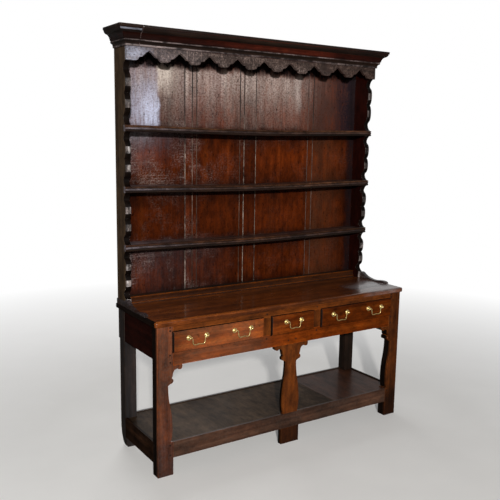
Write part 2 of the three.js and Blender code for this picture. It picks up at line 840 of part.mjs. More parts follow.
function endBoardOutline() {
  const outline = new THREE.Shape();
  outline.moveTo(rackBack, tableHeight);
  outline.lineTo(rackBack, rackTop);
  outline.lineTo(endBoardFrontTop, rackTop);
  outline.lineTo(endBoardFrontTop, friezeBottom);
  const noseHalf = shelfNoseHeight / 2;
  const footTop = tableHeight + shoeKnobHeight + fitGap;
  const floors = [footTop, ...shelfHeights.map((z) => z + noseHalf)];
  const ceilings = [...shelfHeights.map((z) => z - noseHalf), friezeBottom];
  for (let i = floors.length - 1; i >= 0; i--) {
    const height = ceilings[i] - floors[i];
    const place = ([up, cut]) => {
      const z = ceilings[i] - up * height;
      return [rackFrontAt(z) + cut * scallopDepth, z];
    };
    outline.lineTo(...place([0, 0]));
    follow(outline, scallopShares, place);
  }
  outline.lineTo(rackFrontAt(tableHeight), footTop);
  outline.lineTo(rackFrontAt(tableHeight), tableHeight);
  outline.closePath();
  return outline;
}

function shelfNoseY(z) {
  const front = rackFrontAt(z) - shelfNoseProjection;
  return [front, front + shelfNoseDepth];
}

function addEndBoards() {
  for (const [name, side] of sides) {
    let solid = alongX(endBoardOutline(), onSide(side, [rackInnerX, halfRack]));
    const rebateX = onSide(side, [rackInnerX - cutOverrun, rackInnerX + backBoardRebate]);
    solid = solid.subtract(
      block(rebateX, [backBoardFront, rackBack + cutOverrun], grown([tableHeight, rackTop], cutOverrun)),
    );
    for (const z of shelfHeights) {
      const nose = shelfNoseY(z);
      const noseX = onSide(side, grown([rackInnerX, halfRack], cutOverrun));
      const noseZ = grown([z - shelfNoseHeight / 2, z + shelfNoseHeight / 2], fitGap);
      solid = solid.subtract(block(noseX, [nose[0] - cutOverrun, nose[1] + fitGap], noseZ));
      const boardX = onSide(side, [rackInnerX - cutOverrun, rackInnerX + shelfHousing + fitGap]);
      const top = z + shelfNoseHeight / 2;
      const boardZ = grown([top - shelfThickness, top], fitGap);
      solid = solid.subtract(block(boardX, [nose[0], rackBack + cutOverrun], boardZ));
    }
    add(`rack_end_${name}`, solid, darkOak);
  }
}

// A shelf sags between its ends; its reeded nose runs across the end boards' edges.
function addShelves() {
  const noseEnd = halfRack + shelfEndProjection;
  const sag = (x) => -shelfSag * (1 - (x / noseEnd) ** 2) ** 2;
  shelfHeights.forEach((z, index) => {
    const [front, back] = shelfNoseY(z);
    const low = z - shelfNoseHeight / 2;
    const high = z + shelfNoseHeight / 2;
    const reed = shelfNoseHeight / 3;
    const nose = new THREE.Shape();
    nose.moveTo(back, low);
    nose.lineTo(front + reed / 2, low);
    for (let i = 0; i < 3; i++) {
      nose.quadraticCurveTo(front, low + i * reed, front, low + (i + 1 / 2) * reed);
      nose.quadraticCurveTo(front, low + (i + 1) * reed, front + reed / 2, low + (i + 1) * reed);
    }
    nose.lineTo(back, high);
    nose.closePath();
    const board = new THREE.Shape();
    const groove = front + plateGrooveInset;
    board.moveTo(back - shelfNoseDepth / 2, high - shelfThickness);
    board.lineTo(back - shelfNoseDepth / 2, high);
    board.lineTo(groove, high);
    const grooveMiddle = groove + plateGrooveWidth / 2;
    board.quadraticCurveTo(grooveMiddle, high - 2 * plateGrooveDepth, groove + plateGrooveWidth, high);
    board.lineTo(backBoardFront - fitGap, high);
    board.lineTo(backBoardFront - fitGap, high - shelfThickness);
    board.closePath();
    const boardEnd = rackInnerX + shelfHousing;
    const lip = bentAlongX(nose, [-noseEnd, noseEnd], sag);
    add(`shelf_${index + 1}`, lip.add(bentAlongX(board, [-boardEnd, boardEnd], sag)), darkOak);
  });
}

// Back boards stand side by side in the end boards' rebates, with scratched lines beside their joints.
function addBackBoards() {
  const clearWidth = 2 * (rackInnerX + backBoardRebate - fitGap);
  const joints = [-1 / 2, ...backJointShares, 1 / 2].map((share) => share * clearWidth);
  const grooves = backGrooveShares.map((share) => share * clearWidth);
  for (let i = 0; i + 1 < joints.length; i++) {
    const from = joints[i] + (i > 0 ? backBoardJointGap / 2 : 0);
    const to = joints[i + 1] - (i + 2 < joints.length ? backBoardJointGap / 2 : 0);
    const plan = new THREE.Shape();
    plan.moveTo(from, rackBack);
    plan.lineTo(to, rackBack);
    plan.lineTo(to, backBoardFront);
    for (const x of grooves.filter((value) => value > from && value < to).reverse()) {
      plan.lineTo(x + grooveWidth / 2, backBoardFront);
      plan.lineTo(x, backBoardFront + grooveDepth);
      plan.lineTo(x - grooveWidth / 2, backBoardFront);
    }
    plan.lineTo(from, backBoardFront);
    plan.closePath();
    add(`back_board_${i + 1}`, alongZ(plan, [tableHeight, rackTop]), darkOak);
  }
}

// The bottom rail lies on the table between the end boards, with a bead and a hollow along its face.
function addBottomRail() {
  const front = backBoardFront - bottomRailDepth;
  const outline = new THREE.Shape();
  const bead = bottomRailBead;
  const top = tableHeight + bottomRailHeight;
  outline.moveTo(backBoardFront, tableHeight);
  outline.lineTo(backBoardFront, top);
  outline.lineTo(front + 2 * bead, top);
  outline.quadraticCurveTo(front + bead, top, front + bead, top - bead);
  outline.lineTo(front + 2 * bead, top - 2 * bead);
  outline.quadraticCurveTo(front + 2 * bead, tableHeight + 3 * bead, front + bead, tableHeight + 2 * bead);
  outline.quadraticCurveTo(front, tableHeight + 2 * bead, front, tableHeight + bead);
  outline.lineTo(front, tableHeight);
  outline.closePath();
  add("rack_bottom_rail", alongX(outline, [-rackInnerX, rackInnerX]), redOak);
}

// A shoe lies on the table under each end of the rack, housing the end board's foot.
function addShoes() {
  const outer = halfRack + shoeProjection;
  const knob = rackFrontAt(tableHeight);
  const tip = -tableFrontOverhang + shoeTipSetback;
  const place = ([along, up]) => [tip + along * (knob - tip), tableHeight + up * shoeKnobHeight];
  const outline = new THREE.Shape();
  outline.moveTo(tip, tableHeight);
  follow(outline, shoeShares, place);
  outline.lineTo(knob + shoeKnobHeight - shoeBackHeight, tableHeight + shoeBackHeight);
  outline.lineTo(rackBack, tableHeight + shoeBackHeight);
  outline.lineTo(rackBack, tableHeight);
  outline.closePath();
  for (const [name, side] of sides) {
    const blank = alongX(outline, onSide(side, [outer - shoeThickness, outer]));
    const housing = block(
      onSide(side, [rackInnerX - cutOverrun, halfRack + fitGap]),
      [knob - fitGap, rackBack + cutOverrun],
      grown([tableHeight, tableHeight + shoeKnobHeight], cutOverrun),
    );
    add(`rack_shoe_${name}`, blank.subtract(housing), darkOak);
  }
}

// The frieze board: as many pointed peaks as fit at an even pitch, one of them in the middle,
// with a round-nosed pendant between each two.
function addFrieze() {
  const outline = new THREE.Shape();
  const peakZ = friezeBottom + peakHeight;
  const pendantStart = pendantShares[2][1][0] * peakPitch;
  const peaksBesideMiddle = Math.floor((halfRack - pendantStart) / peakPitch);
  outline.moveTo(-halfRack, rackTop);
  outline.lineTo(-halfRack, friezeBottom);
  for (let i = -peaksBesideMiddle; i <= peaksBesideMiddle; i++) {
    const peakX = i * peakPitch;
    const leftPlace = ([along, down]) => [peakX - along * peakPitch, peakZ - down * peakHeight];
    const rightPlace = ([along, down]) => [peakX + along * peakPitch, peakZ - down * peakHeight];
    outline.lineTo(...leftPlace(pendantShares[2][1]));
    followBack(outline, [0, 0], pendantShares, leftPlace);
    follow(outline, pendantShares, rightPlace);
  }
  outline.lineTo(halfRack, friezeBottom);
  outline.lineTo(halfRack, rackTop);
  outline.closePath();
  add("frieze_board", alongY(outline, [friezeFront, endBoardFrontTop]), darkOak);
}

// The cornice: one moulding along the front and back along both ends, mitred at the corners.
function addCornice() {
  const shares = [
    corniceFilletShares,
    corniceCoveShares,
    corniceBeadShares,
    corniceStepShares,
    corniceHollowShares,
    corniceRoundShares,
    corniceTopShares,
    [1, 1],
  ];
  const mapping = (outwards) => {
    return ([out, up]) => [outwards(out * corniceProjection), corniceBottom + up * corniceHeight];
  };
  const frontPlace = mapping((out) => friezeFront - out);
  const leftPlace = mapping((out) => -halfRack - out);
  const rightPlace = mapping((out) => halfRack + out);
  const front = new THREE.Shape();
  front.moveTo(rackBack, corniceBottom);
  front.lineTo(...frontPlace(corniceStartShares));
  follow(front, shares, frontPlace);
  front.lineTo(rackBack, overallHeight);
  front.closePath();
  const across = new THREE.Shape();
  across.moveTo(...leftPlace(corniceStartShares));
  follow(across, shares, leftPlace);
  across.lineTo(...rightPlace([1, 1]));
  followBack(across, corniceStartShares, shares, rightPlace);
  across.closePath();
  const reach = halfRack + corniceProjection + cutOverrun;
  const frontRun = alongX(front, [-reach, reach]);
  const sideRuns = alongY(across, [friezeFront - corniceProjection - cutOverrun, rackBack]);
  const inside = block(
    [-halfRack, halfRack],
    [friezeFront, rackBack + cutOverrun],
    grown([corniceBottom, overallHeight], cutOverrun),
  );
  add("cornice", frontRun.intersect(sideRuns).subtract(inside), darkOak);
}

function addTopBoard() {
  add("top_board", block([-halfRack, halfRack], [friezeFront, rackBack], [rackTop, overallHeight]), darkOak);
}

addFrontLegs();
addBackLegs();
addCentreSupport();
addTopRail();
addApron();
addMuntins();
addFrontRail();
addBackRail();
addSideRails();
addPotBoards();
addSidePanels();
addBackPanel();
addTableTop();
addRunners();
addDrawers();
addEndBoards();
addShoes();
addBottomRail();
addShelves();
addBackBoards();
addFrieze();
addCornice();
addTopBoard();

// The origin is on the floor at the middle of the footprint's box
const bounds = new THREE.Box3().setFromObject(dresser);
const middle = bounds.getCenter(new THREE.Vector3());
dresser.position.set(-middle.x, -middle.y, 0);

export default dresser;
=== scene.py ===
"""The looks of a pot-board welsh dresser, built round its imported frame.

The makers below work in millimetres, with y = 0 at the front faces of the front legs, as the CAD does.
"""

from functools import cache
from math import asin, copysign, cos, hypot, pi, radians, sin

import bmesh
import bpy
from mathutils import Matrix, Vector, noise


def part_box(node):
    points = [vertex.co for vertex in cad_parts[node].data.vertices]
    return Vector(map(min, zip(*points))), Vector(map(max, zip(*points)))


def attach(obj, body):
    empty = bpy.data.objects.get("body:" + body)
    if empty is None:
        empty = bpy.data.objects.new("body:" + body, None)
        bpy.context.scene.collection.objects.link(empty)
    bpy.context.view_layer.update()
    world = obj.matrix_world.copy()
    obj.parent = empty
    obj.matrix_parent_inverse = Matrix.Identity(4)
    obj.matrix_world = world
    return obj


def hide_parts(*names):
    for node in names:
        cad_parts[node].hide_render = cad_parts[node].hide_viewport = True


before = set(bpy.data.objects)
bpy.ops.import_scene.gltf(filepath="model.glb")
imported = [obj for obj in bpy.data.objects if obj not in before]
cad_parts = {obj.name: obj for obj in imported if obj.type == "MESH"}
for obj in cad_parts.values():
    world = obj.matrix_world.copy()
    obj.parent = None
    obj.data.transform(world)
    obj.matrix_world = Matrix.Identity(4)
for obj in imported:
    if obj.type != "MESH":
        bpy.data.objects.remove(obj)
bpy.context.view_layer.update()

MM = 0.001

# -------- sizes of the CAD, in millimetres

BASE_WIDTH, BASE_DEPTH, TABLE_HEIGHT, OVERALL_HEIGHT = 1490, 425, 736, 2030
HALF_BASE = BASE_WIDTH / 2
HALF_RACK = HALF_BASE + 7
HALF_TABLE = HALF_BASE + 12
TABLE_BOTTOM, TABLE_FRONT, TABLE_BACK, TABLE_CORNER = 711, -10, 437, 14
LEG_WIDTH, LEG_THICKNESS = 79, 52
LEG_INNER = HALF_BASE - LEG_WIDTH
BACK_LEG_INNER = HALF_BASE - 62
BACK_LEG_FRONT = BASE_DEPTH - 56
RAIL = 24
OPENING_TOP, OPENING_BOTTOM, APRON_BOTTOM = 680, 590, 525
RAIL_TOP, RAIL_BOTTOM = 160, 83
BOARD_TOP, BOARD_BOTTOM = 156, 138
CENTRE_HALF, MUNTIN_OUTER = 128, 183
SUPPORT_HALF, SUPPORT_THICKNESS = 55, 26
RACK_INNER = HALF_RACK - 28
RACK_BACK = BASE_DEPTH
BACK_BOARD_FRONT = RACK_BACK - 12
END_TOP, END_BOTTOM = RACK_BACK - 127, RACK_BACK - 100
RACK_TOP = OVERALL_HEIGHT - 14
CORNICE_BOTTOM = OVERALL_HEIGHT - 88
CORNICE_REACH = 53
FRIEZE_BOTTOM = CORNICE_BOTTOM - 61
FRIEZE_FRONT = END_TOP - 16
SHELVES = [TABLE_HEIGHT + share * (FRIEZE_BOTTOM - TABLE_HEIGHT) for share in (0.249, 0.49, 0.737)]
NOSE, NOSE_DEPTH, NOSE_REACH = 30, 22, 7
SAG = 9
GAP = 0.3           # left between pieces that touch
BOARD_GAP = 0.4     # each board's share of the gap at a joint
REBATE = 10         # how far the pot board runs into its rails
HOUSING = 14        # how far the rack's back boards run into its ends
BOARD_STEP = 70     # between the stations of a sawn board
DRAWER_PLAY, DRAWER_HEIGHTS = 1.5, (OPENING_BOTTOM + 0.4, OPENING_TOP - 3)
HANDLE_HALF = 93 / 2

# The CAD's origin lies this far behind the legs' front faces
ORIGIN_BACK = -(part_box("front_leg_left")[0].y) / MM


# -------- outlines

def wander(*spot):
    return noise.noise(Vector(spot))


def bezier(start, control, end, steps=8):
    points = []
    for i in range(1, steps + 1):
        t = i / steps
        points.append(tuple(
            (1 - t) ** 2 * a + 2 * t * (1 - t) * b + t * t * c for a, b, c in zip(start, control, end)))
    return points


def curve(points, control, end, steps=8):
    points += bezier(points[-1], control, end, steps)


def follow(start, shares, place, steps=8):
    """The points after the start, of lines and curves given by a table of shares."""
    points, here = [], place(start)
    for entry in shares:
        if isinstance(entry[0], tuple):
            end = place(entry[1])
            points += bezier(here, place(entry[0]), end, steps)
        else:
            end = place(entry)
            points.append(end)
        here = end
    return points


WING = [
    (1, 0.09), ((1, 0.25), (0.84, 0.25)), ((0.72, 0.25), (0.68, 0.19)), ((0.5, 0.2), (0.42, 0.27)),
    ((0.35, 0.33), (0.32, 0.53)), (0.255, 0.645), ((0.38, 0.68), (0.37, 0.8)), ((0.34, 0.91), (0.16, 0.92)),
]


def silhouette(edge):
    """One sawn edge from the pot board up to the wing's outer end under the apron."""
    neck, belly, ankle, belly_z, wing, drop = 25, 4, 12, 225, 72, 92
    neck_z = APRON_BOTTOM - drop
    low = (RAIL_TOP + belly_z) / 2
    high = belly_z + (neck_z - belly_z) / 2
    points = [(edge(0), RAIL_TOP), (edge(ankle), RAIL_TOP)]
    curve(points, (edge(belly), low), (edge(belly), belly_z), 10)
    curve(points, (edge(belly), (high + belly_z) / 2), (edge((neck + belly) / 2), high), 10)
    curve(points, (edge(neck), (neck_z + high) / 2), (edge(neck), neck_z), 10)
    place = lambda share: (edge(neck - share[0] * wing), APRON_BOTTOM - share[1] * drop)
    forward = [place((1, 0))] + follow((1, 0), WING, place, 6)
    return points + forward[::-1]


SCALLOP = [
    ((0.03, 0.85), (0.12, 1)), ((0.15, 1), (0.17, 0.7)), ((0.21, 0), (0.33, 0.02)), ((0.46, 0.04), (0.5, 0.62)),
    ((0.54, 0.04), (0.67, 0.02)), ((0.79, 0), (0.83, 0.7)), ((0.85, 1), (0.88, 1)), ((0.97, 0.85), (1, 0)),
]


def rack_front(z):
    return END_BOTTOM + (END_TOP - END_BOTTOM) * (z - TABLE_HEIGHT) / (FRIEZE_BOTTOM - TABLE_HEIGHT)


def end_board_outline():
    half = NOSE / 2
    foot = TABLE_HEIGHT + 36.3
    floors = [foot] + [z + half for z in SHELVES]
    ceilings = [z - half for z in SHELVES] + [FRIEZE_BOTTOM]
    points = [(RACK_BACK, TABLE_HEIGHT), (RACK_BACK, RACK_TOP), (END_TOP, RACK_TOP), (END_TOP, FRIEZE_BOTTOM)]
    for i in (3, 2, 1, 0):
        height = ceilings[i] - floors[i]

        def place(share):
            z = ceilings[i] - share[0] * height
            return (rack_front(z) + share[1] * 23, z)

        if i < 3:
            nose_back = rack_front(SHELVES[i]) - NOSE_REACH + NOSE_DEPTH + 0.3
            points += [(rack_front(floors[i + 1]), floors[i + 1] + 0.3), (nose_back, floors[i + 1] + 0.3)]
            points += [(nose_back, ceilings[i] - 0.3), (rack_front(ceilings[i]), ceilings[i] - 0.3)]
        points += follow((0, 0), SCALLOP, place, 7)
        if i > 0:
            points.pop()
    points += [(END_BOTTOM, foot), (END_BOTTOM, TABLE_HEIGHT)]
    return points


PENDANT = [((0.1, 0.22), (0.21, 0.6)), ((0.27, 0.64), (0.31, 0.66)), ((0.33, 0.97), (0.42, 1))]


def frieze_outline():
    pitch, peak = 160, FRIEZE_BOTTOM + 46
    points = [(-HALF_RACK, RACK_TOP), (-HALF_RACK, FRIEZE_BOTTOM)]
    for i in range(-4, 5):
        half = follow((0, 0), PENDANT, lambda share: (share[0] * pitch, peak - share[1] * 46), 8)
        points += [(i * pitch - x, z) for x, z in half[::-1]]
        points.append((i * pitch, peak))
        points += [(i * pitch + x, z) for x, z in half]
    return points + [(HALF_RACK, FRIEZE_BOTTOM), (HALF_RACK, RACK_TOP)]


CORNICE = [
    (0.12, 0.1), ((0.16, 0.2), (0.26, 0.22)), ((0.4, 0.27), (0.3, 0.34)), (0.38, 0.37),
    ((0.44, 0.6), (0.66, 0.66)), ((0.92, 0.7), (0.94, 0.86)), (1, 0.86), (1, 1),
]

SHOE = [
    ((0.01, 0.3), (0.12, 0.34)), ((0.24, 0.34), (0.34, 0.2)), ((0.52, 0.02), (0.76, 0.45)),
    ((0.86, 0.75), (0.88, 0.86)), ((0.93, 1.06), (1, 0.95)),
]


def shoe_outline():
    knob, tip = END_BOTTOM, TABLE_FRONT + 115
    place = lambda share: (tip + share[0] * (knob - tip), TABLE_HEIGHT + share[1] * 36)
    points = [(tip, TABLE_HEIGHT)] + follow((0, 0), SHOE, place, 8)
    return points + [(knob + 9, TABLE_HEIGHT + 27), (RACK_BACK, TABLE_HEIGHT + 27), (RACK_BACK, TABLE_HEIGHT)]


# -------- shells and pieces

def aligned(axis, at, a, b):
    """A point at a place along an axis; the other two coordinates are in their order."""
    return {"x": (at, a, b), "y": (a, at, b), "z": (a, b, at)}[axis]


def circle(radius, count):
    angles = [2 * pi * i / count for i in range(count)]
    return [(radius * cos(angle), radius * sin(angle)) for angle in angles]


class Shape:
    """Closed shells gathered into one mesh. A face's tag is the index of its material."""

    def __init__(self):
        self.points, self.faces, self.tags = [], [], []

    def rings(self, rings, tags=None, caps=(0, 0)):
        """A closed shell through rings; tags is a list by side or a function of ring and side."""
        base, count = len(self.points), len(rings[0])
        for ring in rings:
            self.points += ring
        for r in range(len(rings) - 1):
            low = base + r * count
            for i in range(count):
                j = (i + 1) % count
                self.faces.append((low + i, low + j, low + count + j, low + count + i))
                self.tags.append(tags(r, i) if callable(tags) else tags[i] if tags else 0)
        last = base + (len(rings) - 1) * count
        self.faces += [tuple(range(base + count - 1, base - 1, -1)), tuple(range(last, last + count))]
        self.tags += caps
        return self

    def along(self, axis, outline, stations, bend=None, wear=0, tags=None, caps=(0, 0)):
        """An outline carried along an axis. It lies in (y, z), (x, z) or (x, y); bend shifts each station."""
        rings = []
        for at in stations:
            shift = bend(at) if bend else (0, 0)
            ring = []
            for a, b in outline:
                a, b = a + shift[0], b + shift[1]
                if wear:
                    spot = Vector((at * 0.011, a * 0.02, b * 0.02 + len(self.points) * 0.37))
                    a += wear * noise.noise(spot)
                    b += wear * noise.noise(spot + Vector((31.7, 5.1, 9.3)))
                ring.append(aligned(axis, at, a, b))
            rings.append(ring)
        return self.rings(rings, tags, caps)

    def board(self, axis, x, y, z, wear=0.35):
        """A sawn board whose long edges wander a little."""
        (low, high), a, b = {"x": (x, y, z), "y": (y, x, z), "z": (z, x, y)}[axis]
        outline = [(a[0], b[0]), (a[1], b[0]), (a[1], b[1]), (a[0], b[1])]
        return self.along(axis, outline, steps_between(low, high, BOARD_STEP), wear=wear)

    def turned(self, profile, centre, axis="y", sides=28):
        """A body of revolution given by (radius, place along the axis)."""
        def ring(radius, at):
            spots = [aligned(axis, at, u, v) for u, v in circle(max(radius, 0.01), sides)]
            return [tuple(c + d for c, d in zip(centre, spot)) for spot in spots]

        return self.rings([ring(*place) for place in profile])


def steps_between(low, high, step):
    count = max(1, round((high - low) / step))
    return [low + (high - low) * i / count for i in range(count + 1)]


def placed(name, data):
    made = bpy.data.objects.new(name, data)
    bpy.context.scene.collection.objects.link(made)
    return made


def mesh_of(name, shape):
    mesh = bpy.data.meshes.new(name)
    mesh.from_pydata([(x * MM, (y - ORIGIN_BACK) * MM, z * MM) for x, y, z in shape.points], [], shape.faces)
    for face, tag in zip(mesh.polygons, shape.tags):
        face.material_index = tag
    work = bmesh.new()
    work.from_mesh(mesh)
    bmesh.ops.recalc_face_normals(work, faces=work.faces)
    work.to_mesh(mesh)
    work.free()
    return mesh


def carve(piece, *boxes):
    """Cuts blocks, given as (x, y, z) ranges, out of a piece, one after another."""
    for x, y, z in boxes:
        block = Shape().along("z", [(x[0], y[0]), (x[1], y[0]), (x[1], y[1]), (x[0], y[1])], z)
        tool = placed("carver", mesh_of("carver", block))
        cut = piece.modifiers.new("cut", "BOOLEAN")
        cut.object, cut.operation, cut.solver = tool, "DIFFERENCE", "EXACT"
        bpy.context.view_layer.update()
        depsgraph = bpy.context.evaluated_depsgraph_get()
        piece.data = bpy.data.meshes.new_from_object(piece.evaluated_get(depsgraph))
        piece.modifiers.clear()
        bpy.data.objects.remove(tool)


def make(name, shape, finish, slot="dark_oak", body="root", edge=1.2, segments=2, smooth=35, cuts=(), in_cad=True):
    """A piece with eased edges that rides on a body and stands for the CAD node of its own name."""
    piece = placed(name, mesh_of(name, shape))
    for material in finish:
        piece.data.materials.append(material)
    carve(piece, *cuts)
    piece.data.shade_smooth()
    piece.data.set_sharp_from_angle(angle=radians(smooth))
    if edge:
        eased = piece.modifiers.new("eased edges", "BEVEL")
        eased.width, eased.segments = edge * MM, segments
        eased.limit_method, eased.angle_limit = "ANGLE", radians(smooth)
        eased.harden_normals = eased.use_clamp_overlap = True
        if len(finish) > 1:
            eased.material = len(finish) - 1
    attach(piece, body)
    if in_cad:
        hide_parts(name)


# -------- materials

def feed(tree, made, inputs):
    """Links or sets a node's inputs."""
    for key, value in inputs.items():
        if isinstance(value, bpy.types.NodeSocket):
            tree.links.new(value, made.inputs[key])
        else:
            opaque = made.inputs[key].type == "RGBA" and len(value) == 3
            made.inputs[key].default_value = (*value, 1) if opaque else value


def node(tree, kind, inputs=None, **settings):
    made = tree.nodes.new("ShaderNode" + kind)
    for key, value in settings.items():
        setattr(made, key, value)
    feed(tree, made, inputs or {})
    return made


def ramp(tree, factor, stops):
    made = node(tree, "ValToRGB", {0: factor})
    points = made.color_ramp.elements
    while len(points) < len(stops):
        points.new(0.5)
    for point, (place, colour) in zip(points, stops):
        point.position = place
        point.color = (*colour, 1) if isinstance(colour, tuple) else (colour, colour, colour, 1)
    return made.outputs[0]


def mix(tree, factor, a, b, blend="MIX"):
    return node(tree, "Mix", {0: factor, 6: a, 7: b}, data_type="RGBA", blend_type=blend).outputs[2]


def ranged(tree, value, low, high, start=0, end=1):
    """Where a value lies between two limits, as a share or on the scale from start to end."""
    return node(tree, "MapRange", {
        "Value": value, "From Min": low, "From Max": high, "To Min": start, "To Max": end}).outputs[0]


def clouds(tree, vector, scale, detail, roughness=0.5):
    return node(tree, "TexNoise", {
        "Vector": vector, "Scale": scale, "Detail": detail, "Roughness": roughness}).outputs


def bump(tree, height, strength, distance, **under):
    inputs = {"Height": height, "Strength": strength, "Distance": distance, **under}
    return node(tree, "Bump", inputs).outputs[0]


def new_material(name, uniform):
    """A material with its tree, its shader and the place on the piece."""
    material = bpy.data.materials.new(name)
    material.use_nodes = True
    tree = material.node_tree
    shader = tree.nodes["Principled BSDF"]
    feed(tree, shader, uniform)
    return material, tree, shader, node(tree, "TexCoord").outputs["Object"]


def oak(name, grain, deep, mid, light, rough=0.4, gloss=0.3, haze_and_sheen=0, seed=0, specular=0.3, crackle=0.3,
        figure=0.6, haze_and_sheen_film=(), dirt_and_shade_levels=(), specks_and_glints=0, spread=(), gathering=0.46, pitted=0, patchy=0, painted_light_and_tones=(),
        haze_and_sheen_colours=((0.1, 0.085, 0.09), (0.12, 0.1, 0.085))):
    """Old waxed oak with its grain along one axis.

    Straight bands, pores and patina are darkened, or in places lightened, by levels of dirt and painted shade. A cloudy
    layer, partly polish bloom and partly painted sheen and thinned by bands of its own, lies over them with its flecks,
    partly painted glints, and its scratches, whose spread is given, and with patches of painted highlight, reflection
    and shade, and of tone. A band of levels, thinning or spread is an axis, a low and a high end in metres, and its
    stops; a patch is a colour and two bands.
    """
    uniform = {"Coat Weight": gloss, "Coat Roughness": 0.1, "Specular IOR Level": specular}
    material, tree, shader, place = new_material(name, uniform)
    here, elsewhere = (seed * 1.37, seed * 2.11, seed * 0.73), (seed * 3.1 + 7, seed, 4)

    def stretched(vector, along, across, shift):
        scale = [along if axis == grain else across for axis in "xyz"]
        return node(tree, "Mapping", {"Vector": vector, "Scale": scale, "Location": shift}).outputs[0]

    def cloud(along, across, detail, roughness, vector=place, offset=here):
        return clouds(tree, stretched(vector, along, across, offset), 1, detail, roughness)[0]

    def moved(along, across, by):
        drift = clouds(tree, stretched(place, along, across, here), 1, 3)["Color"]
        return node(tree, "VectorMath", {0: drift, 1: (by, by, by), 2: place},
                    operation="MULTIPLY_ADD").outputs[0]

    def ramped(factor, *stops):
        return ramp(tree, factor, stops)

    def times(a, b, share=1):
        return mix(tree, share, a, b, "MULTIPLY")

    rag = 0.05  # the ragged place is ahead of the true one by half of this, on average
    warped, ragged = moved(1.6, 6, 0.022), moved(14, 18, rag)

    def shade(axis, low, high, stops):
        spot = node(tree, "SeparateXYZ", {0: ragged}).outputs[axis]
        return ramp(tree, ranged(tree, spot, low + rag / 2, high + rag / 2), stops)

    bands = cloud(0.7, 42, 6, 0.6, warped)
    fine = cloud(5, 230, 4, 0.7, warped)
    pores = cloud(60, 1000, 2, 0.6, warped)
    patina = cloud(2, 4.2, 6, 0.62)
    smudge = cloud(13, 26, 8, 0.72)
    wood = mix(tree, figure, mid, ramped(bands, (0.32, deep), (0.5, mid), (0.7, light)))
    wood = times(wood, ramped(fine, (0.25, 0.45), (0.5, 1), (0.78, 1.5)), 0.45)
    wood = times(wood, ramped(patina, (0.32, 0.4), (0.52, 1), (0.72, 1.5)), 0.8)
    wood = times(wood, ramped(smudge, (0.3, 0.25), (0.5, 1), (0.72, 1.8)), 0.85)
    wood = times(wood, ramped(pores, (0.36, 0.35), (0.46, 1)), 0.6)
    for band in dirt_and_shade_levels:
        wood = times(wood, shade(*band))
    if haze_and_sheen:
        cover = ramped(cloud(2.5, 30, 9, 0.75, offset=elsewhere), (0.3, 0.25 * haze_and_sheen), (0.68, haze_and_sheen))
        for band in haze_and_sheen_film:
            cover = times(cover, shade(*band))
        crazing = ramped(cloud(120, 95, 4, 0.75, offset=elsewhere), (0.36, 0.3), (0.56, 1.25))
        if specks_and_glints:
            cover = times(cover, crazing)
            dots = ramped(cloud(140, 110, 5, 0.8, offset=elsewhere), (0.48, 0), (0.68, specks_and_glints))
            scratches = ramped(cloud(330, 7, 3, 0.6, offset=elsewhere), (0.6, 0), (0.7, 0.8 * specks_and_glints))
            dots = mix(tree, 1, dots, scratches, "ADD")
            dots = times(dots, ramped(cloud(6, 6, 5, 0.7), (gathering, 0), (gathering + 0.18, 1)))
            for band in spread:
                dots = times(dots, shade(*band))
            cover = mix(tree, 1, cover, dots, "ADD")
        tint = ramped(cloud(1, 5, 2, 0.5), (0.42, haze_and_sheen_colours[0]), (0.56, haze_and_sheen_colours[1]))
        streaky = ramped(fine, (0.25, 0.3), (0.5, 1), (0.78, 1.6))
        wood = mix(tree, cover, wood, times(tint, streaky, 0.5))
        for colour, wide, high in painted_light_and_tones:
            bright = times(shade(*wide), shade(*high))
            bright = times(bright, ramped(cloud(9, 75, 9, 0.8), (0.36, 0.15), (0.6, 1.4)), 0.75)
            wood = mix(tree, times(bright, crazing, 0.7), wood, colour)
    if patchy:
        broken = ramped(cloud(16, 30, 5, 0.75, offset=(seed, 9, seed * 2)), (0.44, 0.06), (0.58, 1))
        wood = times(wood, broken, patchy)
    if pitted:
        pits = ramped(cloud(45, 80, 4, 0.65, offset=(seed + 5, 3, seed * 2)), (0.3, 0.12), (0.4, 1))
        wood = times(wood, pits, pitted)
    planed = bump(tree, cloud(2.2, 15, 2, 0.5), 0.5, 0.003)
    crazed = bump(tree, cloud(130, 70, 3, 0.6), 1, crackle * MM, Normal=planed)
    feed(tree, shader, {
        "Base Color": wood, "Roughness": ranged(tree, patina, 0.3, 0.7, rough + 0.12, rough - 0.06),
        "Normal": bump(tree, fine, 0.3, 0.001, Normal=crazed), "Coat Normal": crazed})
    return material


def metal(name, metallic, scale, colours, roughness, pits=0):
    """A metal stained by clouds of one scale, with the stops of its colour and roughness and its pits' depth."""
    material, tree, shader, place = new_material(name, {"Metallic": metallic})
    stain = clouds(tree, place, scale, 5)[0]
    feed(tree, shader, {"Base Color": ramp(tree, stain, colours), "Roughness": ramp(tree, stain, roughness)})
    if pits:
        feed(tree, shader, {"Normal": bump(tree, clouds(tree, place, 700, 3)[0], 0.2, pits)})
    return material


TOP_BAY, NEXT_BAY, LOW_BAYS = (1.55, 1.95), (1.35, 1.6), (0.75, 1.6)


def band(axis, low, high, *values):
    """Levels between two places in metres on an axis, given in turn by a share of the way and the level there."""
    return axis, low, high, list(zip(values[::2], values[1::2]))


def across(*values):
    return band("X", -0.75, 0.75, *values)


def up(heights, *values):
    return band("Z", *heights, *values)


def bay_dirt_and_shade():
    """Painted shade and dirt, darkening the back boards at the foot of each bay and under the shelf or frieze above it.
    """
    low, high, stops = TABLE_HEIGHT, FRIEZE_BOTTOM + 100, []
    floors, ceilings = [TABLE_HEIGHT + 36] + SHELVES, SHELVES + [FRIEZE_BOTTOM + 55]
    for floor, ceiling in zip(floors, ceilings):
        drop = 45 if ceiling > FRIEZE_BOTTOM else 120
        for z, level in ((floor, 0.4), (floor + 40, 0.95), (ceiling - drop, 1), (ceiling - 20, 0.3)):
            stops += [(z - low) / (high - low), level]
    return up((low * MM, high * MM), *stops)
